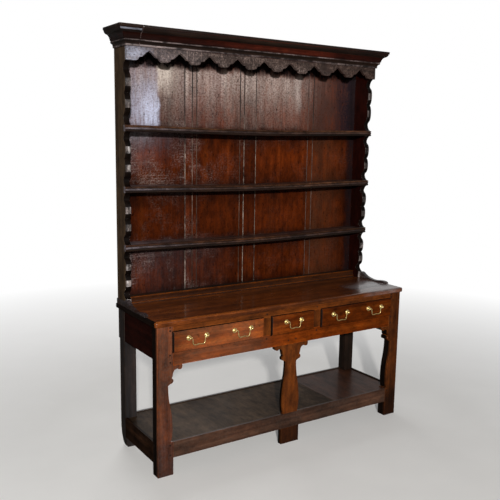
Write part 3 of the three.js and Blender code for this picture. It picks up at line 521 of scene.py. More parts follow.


# Patches on the back boards: painted blue-white and cream reflections, highlights and sheen in the upper bays and at
# the left of the lower ones, darker and browner tones towards the right, painted shade in the corner by the right end
# and a painted shadow behind the frieze.
BACK_PAINTED_LIGHT_AND_TONES = [
    ((0.06, 0.028, 0.022), across(0.72, 0, 0.82, 0.7), up(TOP_BAY, 0.02, 0, 0.1, 1)),
    ((0.014, 0.009, 0.013), across(0.86, 0, 0.95, 1.2), up(TOP_BAY, 0.02, 0, 0.1, 1)),
    ((0.38, 0.39, 0.5), across(0, 0.55, 0.08, 0.6, 0.142, 0.7, 0.15, 0), up(TOP_BAY, 0.05, 0, 0.14, 0.6, 0.3, 1,
     0.6, 0.6, 0.8, 0.3)),
    ((0.68, 0.73, 0.95), across(0.05, 0, 0.085, 0.3, 0.115, 0.8, 0.14, 0.6, 0.15, 0), up(TOP_BAY, 0.08, 0, 0.14, 0.6,
     0.3, 0.95, 0.48, 0.4, 0.66, 0)),
    ((0.6, 0.52, 0.46), across(0.138, 0, 0.146, 1, 0.18, 0.9, 0.2, 0.2, 0.23, 0), up(TOP_BAY, 0.45, 0, 0.6, 0.6,
     0.72, 1, 0.9, 1)),
    ((0.52, 0.45, 0.42), across(0.69, 0, 0.703, 0.5, 0.714, 0.5, 0.725, 0), up(TOP_BAY, 0.3, 0, 0.55, 1, 0.75, 0.8)),
    ((0.62, 0.6, 0.68), across(0.01, 0, 0.04, 0.3, 0.1, 0.35, 0.15, 0.1, 0.2, 0), up(NEXT_BAY, 0.02, 0, 0.1, 0.04,
     0.5, 0.12, 0.9, 0.6, 0.98, 0)),
    # Painted shade in the corner by the right end board.
    ((0.01, 0.006, 0.007), across(0.945, 0, 0.962, 0.8, 1, 1), up(LOW_BAYS, 0, 1)),
    ((0.078, 0.03, 0.0145), across(0.74, 0, 0.79, 0.5, 0.87, 0.35, 0.95, 0), up(LOW_BAYS, 0, 1, 0.97, 1, 1, 0)),
    ((0.13, 0.13, 0.17), across(0, 0.1, 0.1, 0.18, 0.17, 0.13, 0.24, 0.05, 0.3, 0), up(NEXT_BAY, 0.1, 0, 0.35, 0.2,
     0.75, 0.9, 0.9, 0.7, 0.98, 0)),
    ((0.1, 0.095, 0.11), across(0, 0.04, 0.1, 0.24, 0.16, 0.21, 0.34, 0.08, 0.45, 0), up((0.78, 1.05), 0.05, 0.3,
     0.4, 0.6, 0.8, 0.9, 0.95, 0.5, 1, 0)),
    # Painted shadow of the frieze on the back boards, from just below its pendants up.
    ((0.004, 0.002, 0.002), across(0, 1.2), up((1.8, 2), 0.33, 0, 0.42, 0.8, 0.47, 1.2)),
]
# Deep, middle and light tone in thousandths; roughness, gloss, cloudy layer of bloom and painted sheen, specular level;
# and what sets an oak apart
OAKS = {
    "dark": (((3.5, 2, 1.4), (12, 5.5, 3), (32, 14, 7)), 0.42, 0.1, 0.06, 0.15, {}),
    # The shoe's flecks are partly painted glints and its cloudy layer partly a painted blue sheen.
    "shoe": (((8, 4.5, 3), (24, 12, 8), (70, 40, 28)), 0.32, 0.4, 0.35, 0.2, dict(specks_and_glints=0.9, gathering=0.4,
        crackle=0.6, haze_and_sheen_colours=((0.14, 0.14, 0.18), (0.1, 0.09, 0.095)), haze_and_sheen_film=[up((0.736, 0.8), 0.2, 0.1,
        0.5, 1)])),
    "low": (((3.5, 2, 1.4), (12, 5.5, 3), (32, 14, 7)), 0.55, 0, 0, 0.03, {}),
    # A dark oak with a painted blue sheen over it.
    "sheen": (((4, 2.6, 2), (14, 8.5, 6), (32, 18, 12)), 0.42, 0.1, 0.22, 0.15,
        dict(haze_and_sheen_colours=((0.065, 0.075, 0.09), (0.05, 0.05, 0.055)))),
    "black": (((1.5, 1, 0.8), (5, 2.6, 1.8), (12, 6, 4)), 0.5, 0, 0, 0.1, {}),
    "end": (((4, 0.8, 0.5), (14, 2.2, 1.2), (27, 5, 3)), 0.4, 0.06, 0, 0.05, {}),
    "flank": (((22, 12.5, 7), (66, 40, 21), (115, 72, 40)), 0.5, 0, 0.05, 0.08, {}),
    # Painted grey-blue glints towards the left end of the shelves' noses, and flecks that are partly painted glints.
    "shelf": (((10, 4.5, 2), (43, 16.5, 7.5), (110, 48, 23)), 0.38, 0.2, 0.12, 0.2, dict(specks_and_glints=0.6, crackle=0.6,
        patchy=0.55, spread=[across(0, 1, 0.2, 0.7, 0.5, 0.25, 1, 0.2)], painted_light_and_tones=[((0.22, 0.2, 0.23),
        band("X", -0.76, 0.74, 0, 0.7, 0.12, 0.35, 0.3, 0.06, 1, 0.08), up((0.7, 1.7), 0, 1))])),
    # A painted blue glint at the frieze's left end, over a cloudy layer that is partly painted sheen.
    "frieze": (((6, 3.5, 3), (26, 14, 11), (70, 42, 34)), 0.34, 0.3, 0.2, 0.15, dict(figure=0.4, specks_and_glints=0.75,
        gathering=0.3, pitted=0.9, haze_and_sheen_colours=((0.37, 0.28, 0.25), (0.31, 0.21, 0.17)), crackle=0.8, patchy=0.3,
        haze_and_sheen_film=[across(0, 1, 0.08, 0.7, 0.7, 0.45, 1, 0.12)], spread=[across(0, 1, 0.12, 0.85, 0.7, 0.9, 1, 0.3)],
        painted_light_and_tones=[((0.36, 0.38, 0.48), band("X", -0.76, 0.74, 0, 0.8, 0.05, 0.7, 0.1, 0.1, 0.3, 0), up((1.8, 2.03),
        0.2, 1, 1, 0.8))])),
    "cornice": (((10, 1.8, 0.8), (50, 6.8, 2.6), (95, 16, 6)), 0.34, 0.35, 0.03, 0.12, dict(figure=0.8,
        dirt_and_shade_levels=[band("X", -0.8, 0.8, 0, 0.2, 0.26, 0.3, 0.42, 0.9, 0.68, 0.85, 0.82, 0.35, 1, 0.2)])),
    "bead": (((30, 22, 20), (140, 105, 100), (340, 290, 290)), 0.34, 0.3, 0, 0.2, dict(pitted=0.8, crackle=0.5,
        patchy=0.95)),
    # The back boards: painted shade with dirt at the foot and head of each bay and at both ends, and painted sheen,
    # highlights and reflections laid over the oak.
    "back": (((20, 3.8, 0.6), (66, 10.5, 1.1), (105, 21, 2.6)), 0.34, 0.2, 0.95, 0.05, dict(crackle=0.8, figure=0.45,
        specks_and_glints=0.42, pitted=0.85, haze_and_sheen_colours=((0.37, 0.28, 0.265), (0.46, 0.38, 0.345)), painted_light_and_tones=BACK_PAINTED_LIGHT_AND_TONES,
        dirt_and_shade_levels=[bay_dirt_and_shade(), up((0.736, 1.6), 0.36, 0.72, 0.42, 0.84, 0.7, 0.86, 0.76, 1), band("X", -0.725, 0.725,
        0, 0.5, 0.06, 1, 0.5, 1, 0.75, 1.35, 0.93, 1.3, 1, 0.5)], spread=[across(0, 1, 0.25, 0.9, 0.4, 0.15,
        1, 0.12), up((0.736, 1.65), 0.3, 1.25, 0.36, 0.45, 0.58, 0.45, 0.66, 1.4)], haze_and_sheen_film=[across(0, 0.55,
        0.14, 0.8, 0.3, 0.85, 0.55, 0.9, 0.66, 0.8, 0.73, 0.6, 0.78, 0.3, 0.88, 0.1), up((0.736, 2.03), 0, 0.004,
        0.65, 0.006, 0.67, 0.22, 0.72, 0.34, 0.78, 0.62, 0.83, 1, 0.867, 1, 0.882, 0.4, 0.9, 0.1)])),
    "red": (((22, 6, 2), (95, 23, 6), (160, 45, 14)), 0.4, 0.12, 0.22, 0.15, dict(specks_and_glints=0.25, dirt_and_shade_levels=[up((0, 0.2),
        0, 0.55, 0.6, 0.75, 0.9, 1), up((0.4, 0.7), 0, 1, 0.5, 1.5, 1, 2)])),
    "mellow": (((30, 7, 1.2), (125, 30, 3.5), (190, 55, 9)), 0.4, 0.12, 0.04, 0.12, dict(dirt_and_shade_levels=[up((0, 0.2), 0, 0.25,
        0.6, 0.38, 0.9, 1)])),
    "rail": (((20, 7, 3.5), (66, 26, 14), (150, 70, 40)), 0.45, 0.05, 0.22, 0.12, dict(specks_and_glints=0.3,
        dirt_and_shade_levels=[across(0.3, 1, 0.75, 0.75)], haze_and_sheen_colours=((0.11, 0.08, 0.066), (0.12, 0.095, 0.08)))),
    "warm": (((50, 9, 1), (185, 33, 2.2), (280, 70, 8)), 0.38, 0.08, 0.1, 0.08, dict(pitted=0.5,
        haze_and_sheen_colours=((0.6, 0.45, 0.31), (0.5, 0.37, 0.25)), haze_and_sheen_film=[across(0.06, 0.4, 0.12, 1, 0.32, 1.1,
        0.42, 0.12, 0.5, 0.02)], dirt_and_shade_levels=[across(0.06, 0.75, 0.13, 1.1, 0.32, 1.2, 0.45, 1.05, 0.55, 0.9,
        0.62, 0.75, 1, 0.58)])),
    # A painted reflection on the table top towards its right end.
    "table": (((30, 7, 1.2), (118, 28, 3.8), (210, 58, 10)), 0.26, 0.45, 0.05, 0.2, dict(crackle=0.15, figure=0.85,
        dirt_and_shade_levels=[across(0, 1.4, 0.5, 1.05, 1, 0.7)], painted_light_and_tones=[((0.62, 0.58, 0.6), across(0.8, 0, 0.86, 0.35,
        0.93, 0.6, 0.98, 0.3), band("Y", -0.25, 0.05, 0.05, 0, 0.3, 0.9, 0.6, 1, 0.8, 0.15, 0.95, 0))])),
    "pot": (((17, 9, 5), (44, 26.2, 14.8), (66, 41, 24.5)), 0.5, 0.03, 0.04, 0.02, dict(figure=0.3)),
    "polished pot": (((13, 4.5, 2.2), (40, 14.5, 7.5), (62, 25, 13.5)), 0.36, 0.055, 0.02, 0.04, dict(figure=0.4,
        crackle=0.1)),
    "raw": (((22, 13, 8), (60, 38, 25), (100, 68, 46)), 0.75, 0, 0.15, 0.1, dict(figure=0.7, pitted=0.5,
        crackle=0.2, haze_and_sheen_colours=((0.13, 0.115, 0.1), (0.1, 0.085, 0.07)))),
    "inner": (((100, 55, 25), (220, 130, 62), (330, 210, 110)), 0.7, 0, 0, 0.3, {}),
}


@cache
def finish(kind, grain, seed=0, worn=2, tone=1):
    """The oak of a piece and, as its last material, the worn and shinier oak of its edges, whose lightness is partly a
    painted highlight.
    """
    tones, rough, gloss, haze_and_sheen, specular, more = OAKS[kind]

    def made(state, by, *surface):
        return oak(f"{kind} {state} {grain}{seed}", grain, *[tuple(min(1, c * 0.001 * by) for c in t) for t in tones],
                   *surface, seed=seed, specular=specular, **more)

    return made("oak", tone, rough, gloss, haze_and_sheen), made("rubbed", tone * worn, rough - 0.08, min(3 * gloss, gloss + 0.3))


def plain(*look, **more):
    return finish(*look, **more)[0]


BRASS = metal("aged brass", 0.88, 160, [(0.28, (0.42, 0.28, 0.08)), (0.45, (1, 0.76, 0.3)),
                                          (0.75, (1, 0.92, 0.54))], [(0.3, 0.45), (0.6, 0.3)], 0.0004)
IRON = metal("old iron nails", 0.6, 500, [(0.3, (0.012, 0.009, 0.008)), (0.7, (0.06, 0.035, 0.024))],
             [(0.3, 0.5), (0.7, 0.8)])
SIDES = (("left", -1), ("right", 1))


def span(side, low, high):
    return (low, high) if side > 0 else (-high, -low)


# -------- base

def make_silhouette(name, outline, depths, kind, seed, inside, tone=1, **more):
    """A board sawn to an outline, its face in one oak, its sawn edges worn in front and black behind as painted shade;
    its worn arrises are lighter partly as a painted highlight.
    """
    face, rubbed = finish(kind, "z", seed, tone=tone)
    shape = Shape().along("y", outline, depths, tags=lambda ring, i: 1 if ring else 0, caps=(0, 1))
    make(name, shape, (face, plain("black", "z", inside), rubbed), "red_oak", **more)


def make_base():
    above = 170
    board_groove, board_notch = (BOARD_BOTTOM, above), (BOARD_BOTTOM - 8, above)
    for index, (name, side) in enumerate(SIDES):
        edge = lambda inset: side * (LEG_INNER + inset)
        outline = [(side * HALF_BASE, 0), (edge(0), 0)] + silhouette(edge)
        outline += [(edge(0), APRON_BOTTOM), (edge(0), TABLE_BOTTOM), (side * HALF_BASE, TABLE_BOTTOM)]
        make_silhouette(f"front_leg_{name}", outline, (0, 13, LEG_THICKNESS), ("red", "mellow")[index], 1 + index, 90,
                        (1, 0.74)[index], edge=1.6)
        rings = []
        for z, lost in ((0, 15), (22, 9), (60, 3), (105, 0.3), (200, 0), (400, 0), (TABLE_BOTTOM, 0)):
            outer, lost = side * (HALF_BASE - lost * (1 if side < 0 else 0.25)), lost * 0.4
            inner, rub = side * (BACK_LEG_INNER + lost * 0.3), 0.8 * wander(z * 0.02, side, 5)
            rings.append([(inner, BACK_LEG_FRONT, z), (outer - side * abs(rub), BACK_LEG_FRONT + abs(rub) + lost, z),
                          (outer, BASE_DEPTH - lost, z), (inner, BASE_DEPTH, z)])
        make(f"back_leg_{name}", Shape().rings(rings), finish(("sheen", "dark")[index], "z", 3 + index), edge=2)
        between_legs, rail_inner = (LEG_THICKNESS, BACK_LEG_FRONT), HALF_BASE - RAIL
        rail = Shape().board("y", span(side, rail_inner, HALF_BASE), between_legs, (RAIL_TOP - 102, RAIL_TOP))
        make(f"side_rail_{name}", rail, finish("low", "y", 5 + index),
             cuts=[(span(side, rail_inner - 5, rail_inner + REBATE), (0, BASE_DEPTH), board_groove)])
        panel = Shape().board("y", span(side, HALF_BASE - 21, HALF_BASE - 3), between_legs, (553, TABLE_BOTTOM))
        make(f"side_panel_{name}", panel, finish("end", "y", 7 + index))
        muntin = Shape().board("z", span(side, CENTRE_HALF, MUNTIN_OUTER), (0, RAIL), (OPENING_BOTTOM, OPENING_TOP))
        make(f"drawer_muntin_{name}", muntin, finish("mellow", "z", 9 + index), "red_oak", edge=0.8)

    half = [(-x, z) for x, z in silhouette(lambda inset: SUPPORT_HALF - inset)]
    outline = [(-x, z) for x, z in half[::-1]] + [(SUPPORT_HALF, 0), (-SUPPORT_HALF, 0)] + half
    make_silhouette("centre_support", outline, (0, 12, SUPPORT_THICKNESS), "mellow", 12, 91, edge=1.4,
                    cuts=[((-60, 60), (-5, 12 + GAP), (RAIL_BOTTOM - GAP, RAIL_TOP + GAP))])

    legs, low_rail = (-LEG_INNER, LEG_INNER), (RAIL_BOTTOM, RAIL_TOP)
    support = (-SUPPORT_HALF - GAP, SUPPORT_HALF + GAP)
    rails = [
        ("top_rail", legs, (0, RAIL), (OPENING_TOP, TABLE_BOTTOM), 0.35, "mellow", "red_oak", 0.9, []),
        ("apron_rail", legs, (0, RAIL), (APRON_BOTTOM, OPENING_BOTTOM), 0.35, "warm", "warm_oak", 1.1, []),
        ("front_rail", legs, (0, RAIL), low_rail, 0.7, "rail", "red_oak", 1.8,
         [((-700, 700), (RAIL - REBATE, 30), board_groove), (support, (12, 30), (70, above))]),
        ("back_rail", (-BACK_LEG_INNER, BACK_LEG_INNER), (BASE_DEPTH - RAIL, BASE_DEPTH), low_rail, 0.35, "dark",
         "dark_oak", 1.2, [((-700, 700), (395, BASE_DEPTH - RAIL + REBATE), board_groove)]),
        ("back_panel", (-HALF_BASE, HALF_BASE), (BASE_DEPTH, TABLE_BACK - 0.5), (559, TABLE_BOTTOM), 0.35, "dark",
         "dark_oak", 1.2, []),
    ]
    for i, (name, x, y, z, wear, kind, slot, edge, cuts) in enumerate(rails):
        make(name, Shape().board("x", x, y, z, wear), finish(kind, "x", 13 + i), slot, edge=edge, cuts=cuts)

    end = HALF_BASE - RAIL + REBATE - GAP
    front, back = RAIL - REBATE + GAP, BASE_DEPTH - RAIL + REBATE - GAP
    joints = [-end, -0.269 * 2 * end, 0.21 * 2 * end, end]
    corner = ((LEG_INNER - GAP, 800), (-10, LEG_THICKNESS + GAP), board_notch)
    rear = ((BACK_LEG_INNER - GAP, 800), (BACK_LEG_FRONT - GAP, 450), board_notch)
    notches = [corner, rear, (support, (-10, SUPPORT_THICKNESS + GAP), board_notch)]
    notches += [((-x[1], -x[0]), y, z) for x, y, z in (corner, rear)]
    for i, (kind, tone) in enumerate((("pot", 1.25), ("pot", 1.04), ("polished pot", 1))):
        x = (joints[i] + BOARD_GAP * (i > 0), joints[i + 1] - BOARD_GAP * (i < 2))
        make(f"pot_board_{i + 1}", Shape().board("x", x, (front, back), (BOARD_BOTTOM, BOARD_TOP), 0.5),
             finish(kind, "y", 18 + i, 1.3, tone), "pot_board_oak", edge=0.9, cuts=notches)


def table_ring(inset, z):
    """The table top's plan at one height: its front and ends drawn in, its front corners rounded."""
    radius = max(TABLE_CORNER - inset, 2)
    x, front = HALF_TABLE - inset, TABLE_FRONT + inset
    points = [(-x, y) for y in steps_between(TABLE_BACK, front + radius, 60)]
    curve(points, (-x, front), (-x + radius, front), 5)
    points += [(at, front) for at in steps_between(-x + radius, x - radius, 50)[1:]]
    curve(points, (x, front), (x, front + radius), 5)
    points += [(x, y) for y in steps_between(front + radius, TABLE_BACK, 60)[1:]]
    ring = []
    for a, b in points:
        rub = 0.8 * wander(a * 0.006, b * 0.01, 3.3) * (b < TABLE_BACK - 1)
        lift = 0.5 * wander(a * 0.008, b * 0.01, 8.8) * (z > TABLE_BOTTOM + 5)
        ring.append((a, b + rub, z + lift))
    return ring


def make_table():
    low, high, radius, step = TABLE_BOTTOM, TABLE_HEIGHT - GAP, 9, 2.5
    profile = [(radius / 2, low)] + bezier((radius / 2, low), (0, low), (0, low + radius), 5)
    profile += [(0, high - step - radius / 2)]
    curve(profile, (0, high - step), (radius / 2, high - step / 2), 4)
    curve(profile, (radius, high), (radius + step, high), 5)
    rings = [table_ring(inset, z) for inset, z in profile]

    # The ends of the top are black, and the rounding along its front is in the worn, lighter oak, partly a painted
    # highlight.
    def edge_tag(ring, i):
        (x, y, _), (next_x, next_y, _) = rings[ring][i], rings[ring][(i + 1) % len(rings[ring])]
        if min(abs(x), abs(next_x)) > HALF_TABLE - 16 and (y + next_y) / 2 > TABLE_FRONT + TABLE_CORNER:
            return 1 if ring < len(rings) - 3 else 0
        return 2 if (y + next_y) / 2 < TABLE_FRONT + TABLE_CORNER and ring > 11 else 0

    top, rubbed = finish("table", "x", 21, 2.8)
    make("table_top", Shape().rings(rings, edge_tag), (top, plain("black", "y", 92), rubbed), "warm_oak", edge=0)


# -------- drawers and handles

def rectangle_ring(y, x, z, radius=0.8):
    """A rectangle with small round corners, in the plane at one depth."""
    points = []
    for cx, cz, start in ((x[1] - radius, z[1] - radius, 0), (x[0] + radius, z[1] - radius, 90),
                          (x[0] + radius, z[0] + radius, 180), (x[1] - radius, z[0] + radius, 270)):
        for i in range(4):
            angle = radians(start + 30 * i)
            points.append((cx + radius * cos(angle), y, cz + radius * sin(angle)))
    return points


def drawer_front(low, high):
    lip_x, lip_z = (low - 5, high + 5), (OPENING_BOTTOM - 5, OPENING_TOP + 5)
    inner = (low + DRAWER_PLAY, high - DRAWER_PLAY)
    rings = [rectangle_ring(y, inner, DRAWER_HEIGHTS) for y in (RAIL - 12, -GAP)]
    lip = [(0, -GAP), (0, -3.5)] + bezier((0, -3.5), (0.6, -8.2), (5, -9.6), 5) + [(5.4, -11.2), (6.4, -12)]
    for inset, y in lip:
        x, z = (lip_x[0] + inset, lip_x[1] - inset), (lip_z[0] + inset, lip_z[1] - inset)
        rings.append(rectangle_ring(y, x, z))
    # The sides of the lip and the start of its rounding are black as painted shade round the drawer, on the left
    # further onto the front.
    left_side = 7
    return Shape().rings(rings, lambda ring, i: 1 if 0 < ring < (9 if i == left_side else 6) else 0)


def drawer_box(low, high):
    """Two sides, with a back and a bottom between them."""
    x, y, z = (low + DRAWER_PLAY, high - DRAWER_PLAY), (12.3, BASE_DEPTH - 25), DRAWER_HEIGHTS
    board, between, shape = 10, (x[0] + 10.1, x[1] - 10.1), Shape()
    for axis, *ranges in (
            ("y", (x[0], x[0] + board), y, z), ("y", (x[1] - board, x[1]), y, z),
            ("x", between, (y[1] - board, y[1]), z), ("x", between, (y[0], y[1] - 10.1), (z[0] + 5, z[0] + 12))):
        shape.board(axis, *ranges, wear=0.15)
    return shape


def post_profile():
    """Rose with a raised rim, stem, ball, and the shank and nut behind: radius and depth from the drawer's face."""
    points = [(0, 28), (5.2, 28), (5.5, 27.5), (5.5, 25.4), (5.2, 24.4), (2.4, 24.3), (2.4, -0.3), (12.2, -0.3)]
    points += [(12.5, -0.9), (12.5, -1.7), (12.1, -2.3), (11.3, -2.6), (10.5, -2.3), (9.9, -1.7), (9.2, -1.5)]
    points += [(8, -1.9), (6.6, -2.7), (5.2, -3.9), (4.3, -5.2), (3.7, -6.4), (3.4, -7.6)]
    start = asin(3.4 / 5.6)
    for i in range(1, 11):
        angle = start + (pi - start) * i / 10
        points.append((5.6 * sin(angle), -13 + 5.6 * cos(angle)))
    return points


BAIL = [(1.13, 0), (0.98, 0), (0.88, 0), (0.79, -0.07), (0.72, 0.1), (0.69, 0.42),
        (0.67, 0.72), (0.58, 0.93), (0.42, 1), (0.2, 0.97), (0, 0.93)]


def smooth_line(points, per_span):
    """A smooth line through points in a plane, by Catmull-Rom spans."""
    line = []
    for i in range(len(points) - 1):
        p = [points[max(i - 1, 0)], points[i], points[i + 1], points[min(i + 2, len(points) - 1)]]
        for k in range(per_span):
            t = k / per_span
            line.append(tuple(0.5 * (2 * b + (c - a) * t + (2 * a - 5 * b + 4 * c - d) * t * t
                                     + (3 * b - a - 3 * c + d) * t ** 3) for a, b, c, d in zip(*p)))
    return line + [points[-1]]


def bail_shape(centre, pivot):
    drop = 34
    right = [(along * HANDLE_HALF, -down * drop) for along, down in BAIL]
    line = smooth_line([(-x, z) for x, z in right] + right[-2::-1], 6)
    rings = []
    for i, (x, z) in enumerate(line):
        before, after = line[max(i - 1, 0)], line[min(i + 1, len(line) - 1)]
        dx, dz = after[0] - before[0], after[1] - before[1]
        size = hypot(dx, dz)
        normal = (-dz / size, dx / size)
        low = min(1, max(0, -z / drop))
        radius = 2 + 0.28 * low * low
        rings.append([(centre + x + normal[0] * a, pivot[0] + b, pivot[1] + z + normal[1] * a)
                      for a, b in circle(radius, 12)])
    return Shape().rings(rings)


def make_drawers():
    drawers = [
        ("left", -LEG_INNER, -MUNTIN_OUTER, ((1, -122), (2, 122))),
        ("centre", -CENTRE_HALF, CENTRE_HALF, ((3, 0),)),
        ("right", MUNTIN_OUTER, LEG_INNER, ((4, -122), (5, 122))),
    ]
    for index, (name, low, high, handles) in enumerate(drawers):
        body = f"drawer_{name}"
        front = plain("warm", "x", 30 + index, tone=(0.95, 1, 0.72)[index])
        make(f"{body}_front", drawer_front(low, high), (front, plain("black", "x", 93)), "warm_oak", body,
             edge=0, smooth=30)
        make(f"{body}_box", drawer_box(low, high), finish("inner", "y", 33 + index), "inner_oak", body, edge=0.8)
        for number, offset in handles:
            x, z = (low + high) / 2 + offset, (OPENING_BOTTOM + OPENING_TOP) / 2 + 12
            for end, side in SIDES:
                post = Shape().turned(post_profile(), (x + side * HANDLE_HALF, -12, z), sides=32)
                make(f"handle_{number}_post_{end}", post, (BRASS,), "brass", body, edge=0, smooth=50)
            make(f"handle_{number}_bail", bail_shape(x, (-25, z)), (BRASS,), "brass", f"bail_{number}", edge=0,
                 smooth=60)


# -------- rack

def shelf_bend(x):
    return (0, -SAG * (1 - (x / (HALF_RACK + 3)) ** 2) ** 2)


def make_rack_ends():
    for index, (name, side) in enumerate(SIDES):
        outline, sawn = end_board_outline(), []
        # The scallops' sawn faces are black and their crests carry painted glints; the outer face is in a lighter oak
        # than the inner face and the back edge.
        for (y, z), (next_y, next_z) in zip(outline, outline[1:] + outline[:1]):
            crest = max(y - rack_front(z), next_y - rack_front(next_z)) < 2 and max(z, next_z) < FRIEZE_BOTTOM
            sawn.append(0 if max(y, next_y) > RACK_BACK - 20 else 3 if crest else 1)
        board = Shape().along("x", outline, span(side, RACK_INNER, HALF_RACK), tags=sawn,
                              caps=(2, 0) if side < 0 else (0, 2))
        looks = plain("end", "z", 40 + index), plain("black", "z", 96), plain("flank", "z", 94 + index), POLISHED_AND_GLINTING
        make(f"rack_end_{name}", board, looks, edge=3.5, segments=4,
             cuts=[(span(side, RACK_INNER - 5, RACK_INNER + HOUSING), (BACK_BOARD_FRONT, 430), (700, 2050))])
        outer = HALF_RACK + 5
        make(f"rack_shoe_{name}", Shape().along("x", shoe_outline(), span(side, outer - 20, outer)),
             finish("shoe", "y", 42 + index, 2), edge=1.5,
             cuts=[(span(side, RACK_INNER - 5, HALF_RACK + GAP), (END_BOTTOM - GAP, 430), (700, 800))])


def make_shelves():
    """Shelves with a reeded nose that runs past the ends and, between these, a board with a plate groove."""
    for i, z in enumerate(SHELVES):
        front = rack_front(z) - NOSE_REACH
        back, low, high, reed = front + NOSE_DEPTH, z - NOSE / 2, z + NOSE / 2, NOSE / 3
        # The nose's underside and lowest reed are dark as painted shade, and its top reed is in the worn, lighter oak
        # as a painted highlight.
        nose, tags = [(back, low), (front + reed / 2, low)], [1]
        for k in range(3):
            base = low + k * reed
            curve(nose, (front, base + reed * 0.04), (front, base + reed / 2), 4)
            curve(nose, (front, base + reed * 0.96), (front + reed / 2, base + reed), 4)
            tags += [(1, 0, 2)[k]] * 8
        nose += [(back, high)]
        groove = front + 42
        board = [(back + 0.2, high - 19), (back + 0.2, high), (groove, high)]
        curve(board, (groove + 4, high - 6), (groove + 8, high), 5)
        board += [(BACK_BOARD_FRONT - GAP, high), (BACK_BOARD_FRONT - GAP, high - 19)]
        shape = Shape()
        shape.along("x", nose, steps_between(-HALF_RACK - 3, HALF_RACK + 3, 40), shelf_bend, 0.5, tags + [0, 1])
        shape.along("x", board, steps_between(-RACK_INNER, RACK_INNER, 40), shelf_bend, 0.4)
        base, rubbed = finish("shelf", "x", 44 + i, 1.5)
        make(f"shelf_{i + 1}", shape, (base, plain("dark", "x", 97), rubbed), edge=0.8)


def make_back_boards():
    """Upright boards with moulded joints and grooves, some of them pale with dust and painted highlights."""
    clear = 2 * (RACK_INNER + HOUSING - GAP)
    joints = [share * clear for share in (-0.5, -0.2637, 0.0244, 0.2603, 0.5)]
    grooves = [share * clear for share in (-0.2352, -0.2182, -0.0434, -0.0258, 0.2847)]
    face, chamfer, floor = BACK_BOARD_FRONT, BACK_BOARD_FRONT + 1.6, BACK_BOARD_FRONT + 1.9
    for i in range(4):
        low, high = joints[i] + BOARD_GAP * (i > 0), joints[i + 1] - BOARD_GAP * (i < 3)
        left, right = (1.6, 2.4, 2.2, 1.6)[i], (2.4, 2.2, 1.6, 1.6)[i]
        outline = [(low, RACK_BACK), (high, RACK_BACK), (high, chamfer), (high - right, face)]
        tags = [3, 0, (1, 1, 2, 2)[i], 0]
        for at in sorted((g for g in grooves if low < g < high), reverse=True):
            outline += [(at + 2.5, face), (at + 1, floor), (at - 1, floor), (at - 2.5, face)]
            tags += [1 if -0.04 < at / clear < 0 else 2] * 3 + [0]
        outline += [(low + left, face), (low, chamfer)]
        tags += [(2, 1, 1, 2)[i], 0]
        shape = Shape().along("z", outline, steps_between(TABLE_HEIGHT, RACK_TOP, 60), wear=0.25, tags=tags)
        make(f"back_board_{i + 1}", shape, (plain("back", "z", 50 + i), DUST_AND_HIGHLIGHT, FAINT_DUST_AND_HIGHLIGHT, plain("raw", "z", 63 + i)),
             "back_oak", edge=0)


def make_rack_rails():
    front, top = BACK_BOARD_FRONT - 48, TABLE_HEIGHT + 36
    rail = [(BACK_BOARD_FRONT, TABLE_HEIGHT), (BACK_BOARD_FRONT, top), (front + 8, top)]
    curve(rail, (front + 4, top), (front + 4, top - 4), 5)
    rail.append((front + 8, top - 8))
    curve(rail, (front + 8, TABLE_HEIGHT + 12), (front + 4, TABLE_HEIGHT + 8), 6)
    curve(rail, (front, TABLE_HEIGHT + 8), (front, TABLE_HEIGHT + 4), 5)
    rail.append((front, TABLE_HEIGHT))
    # Its two rounds are in the worn, lighter oak, partly as painted highlights; its back, top, the quirk under the
    # upper round, the foot of its front and its underside are dark.
    tags = [1, 1] + [2] * 5 + [1] + [0] * 6 + [2] * 5 + [1, 1]
    base, rubbed = finish("mellow", "x", 55, 3.2, 0.24)
    make("rack_bottom_rail", Shape().along("x", rail, steps_between(-RACK_INNER, RACK_INNER, 50), wear=0.3, tags=tags),
         (base, plain("dark", "x", 98, tone=1.8), rubbed), "red_oak", edge=0.8)
    make("frieze_board", Shape().along("y", frieze_outline(), (FRIEZE_FRONT, END_TOP)),
         finish("frieze", "x", 56, 1.5), edge=1)


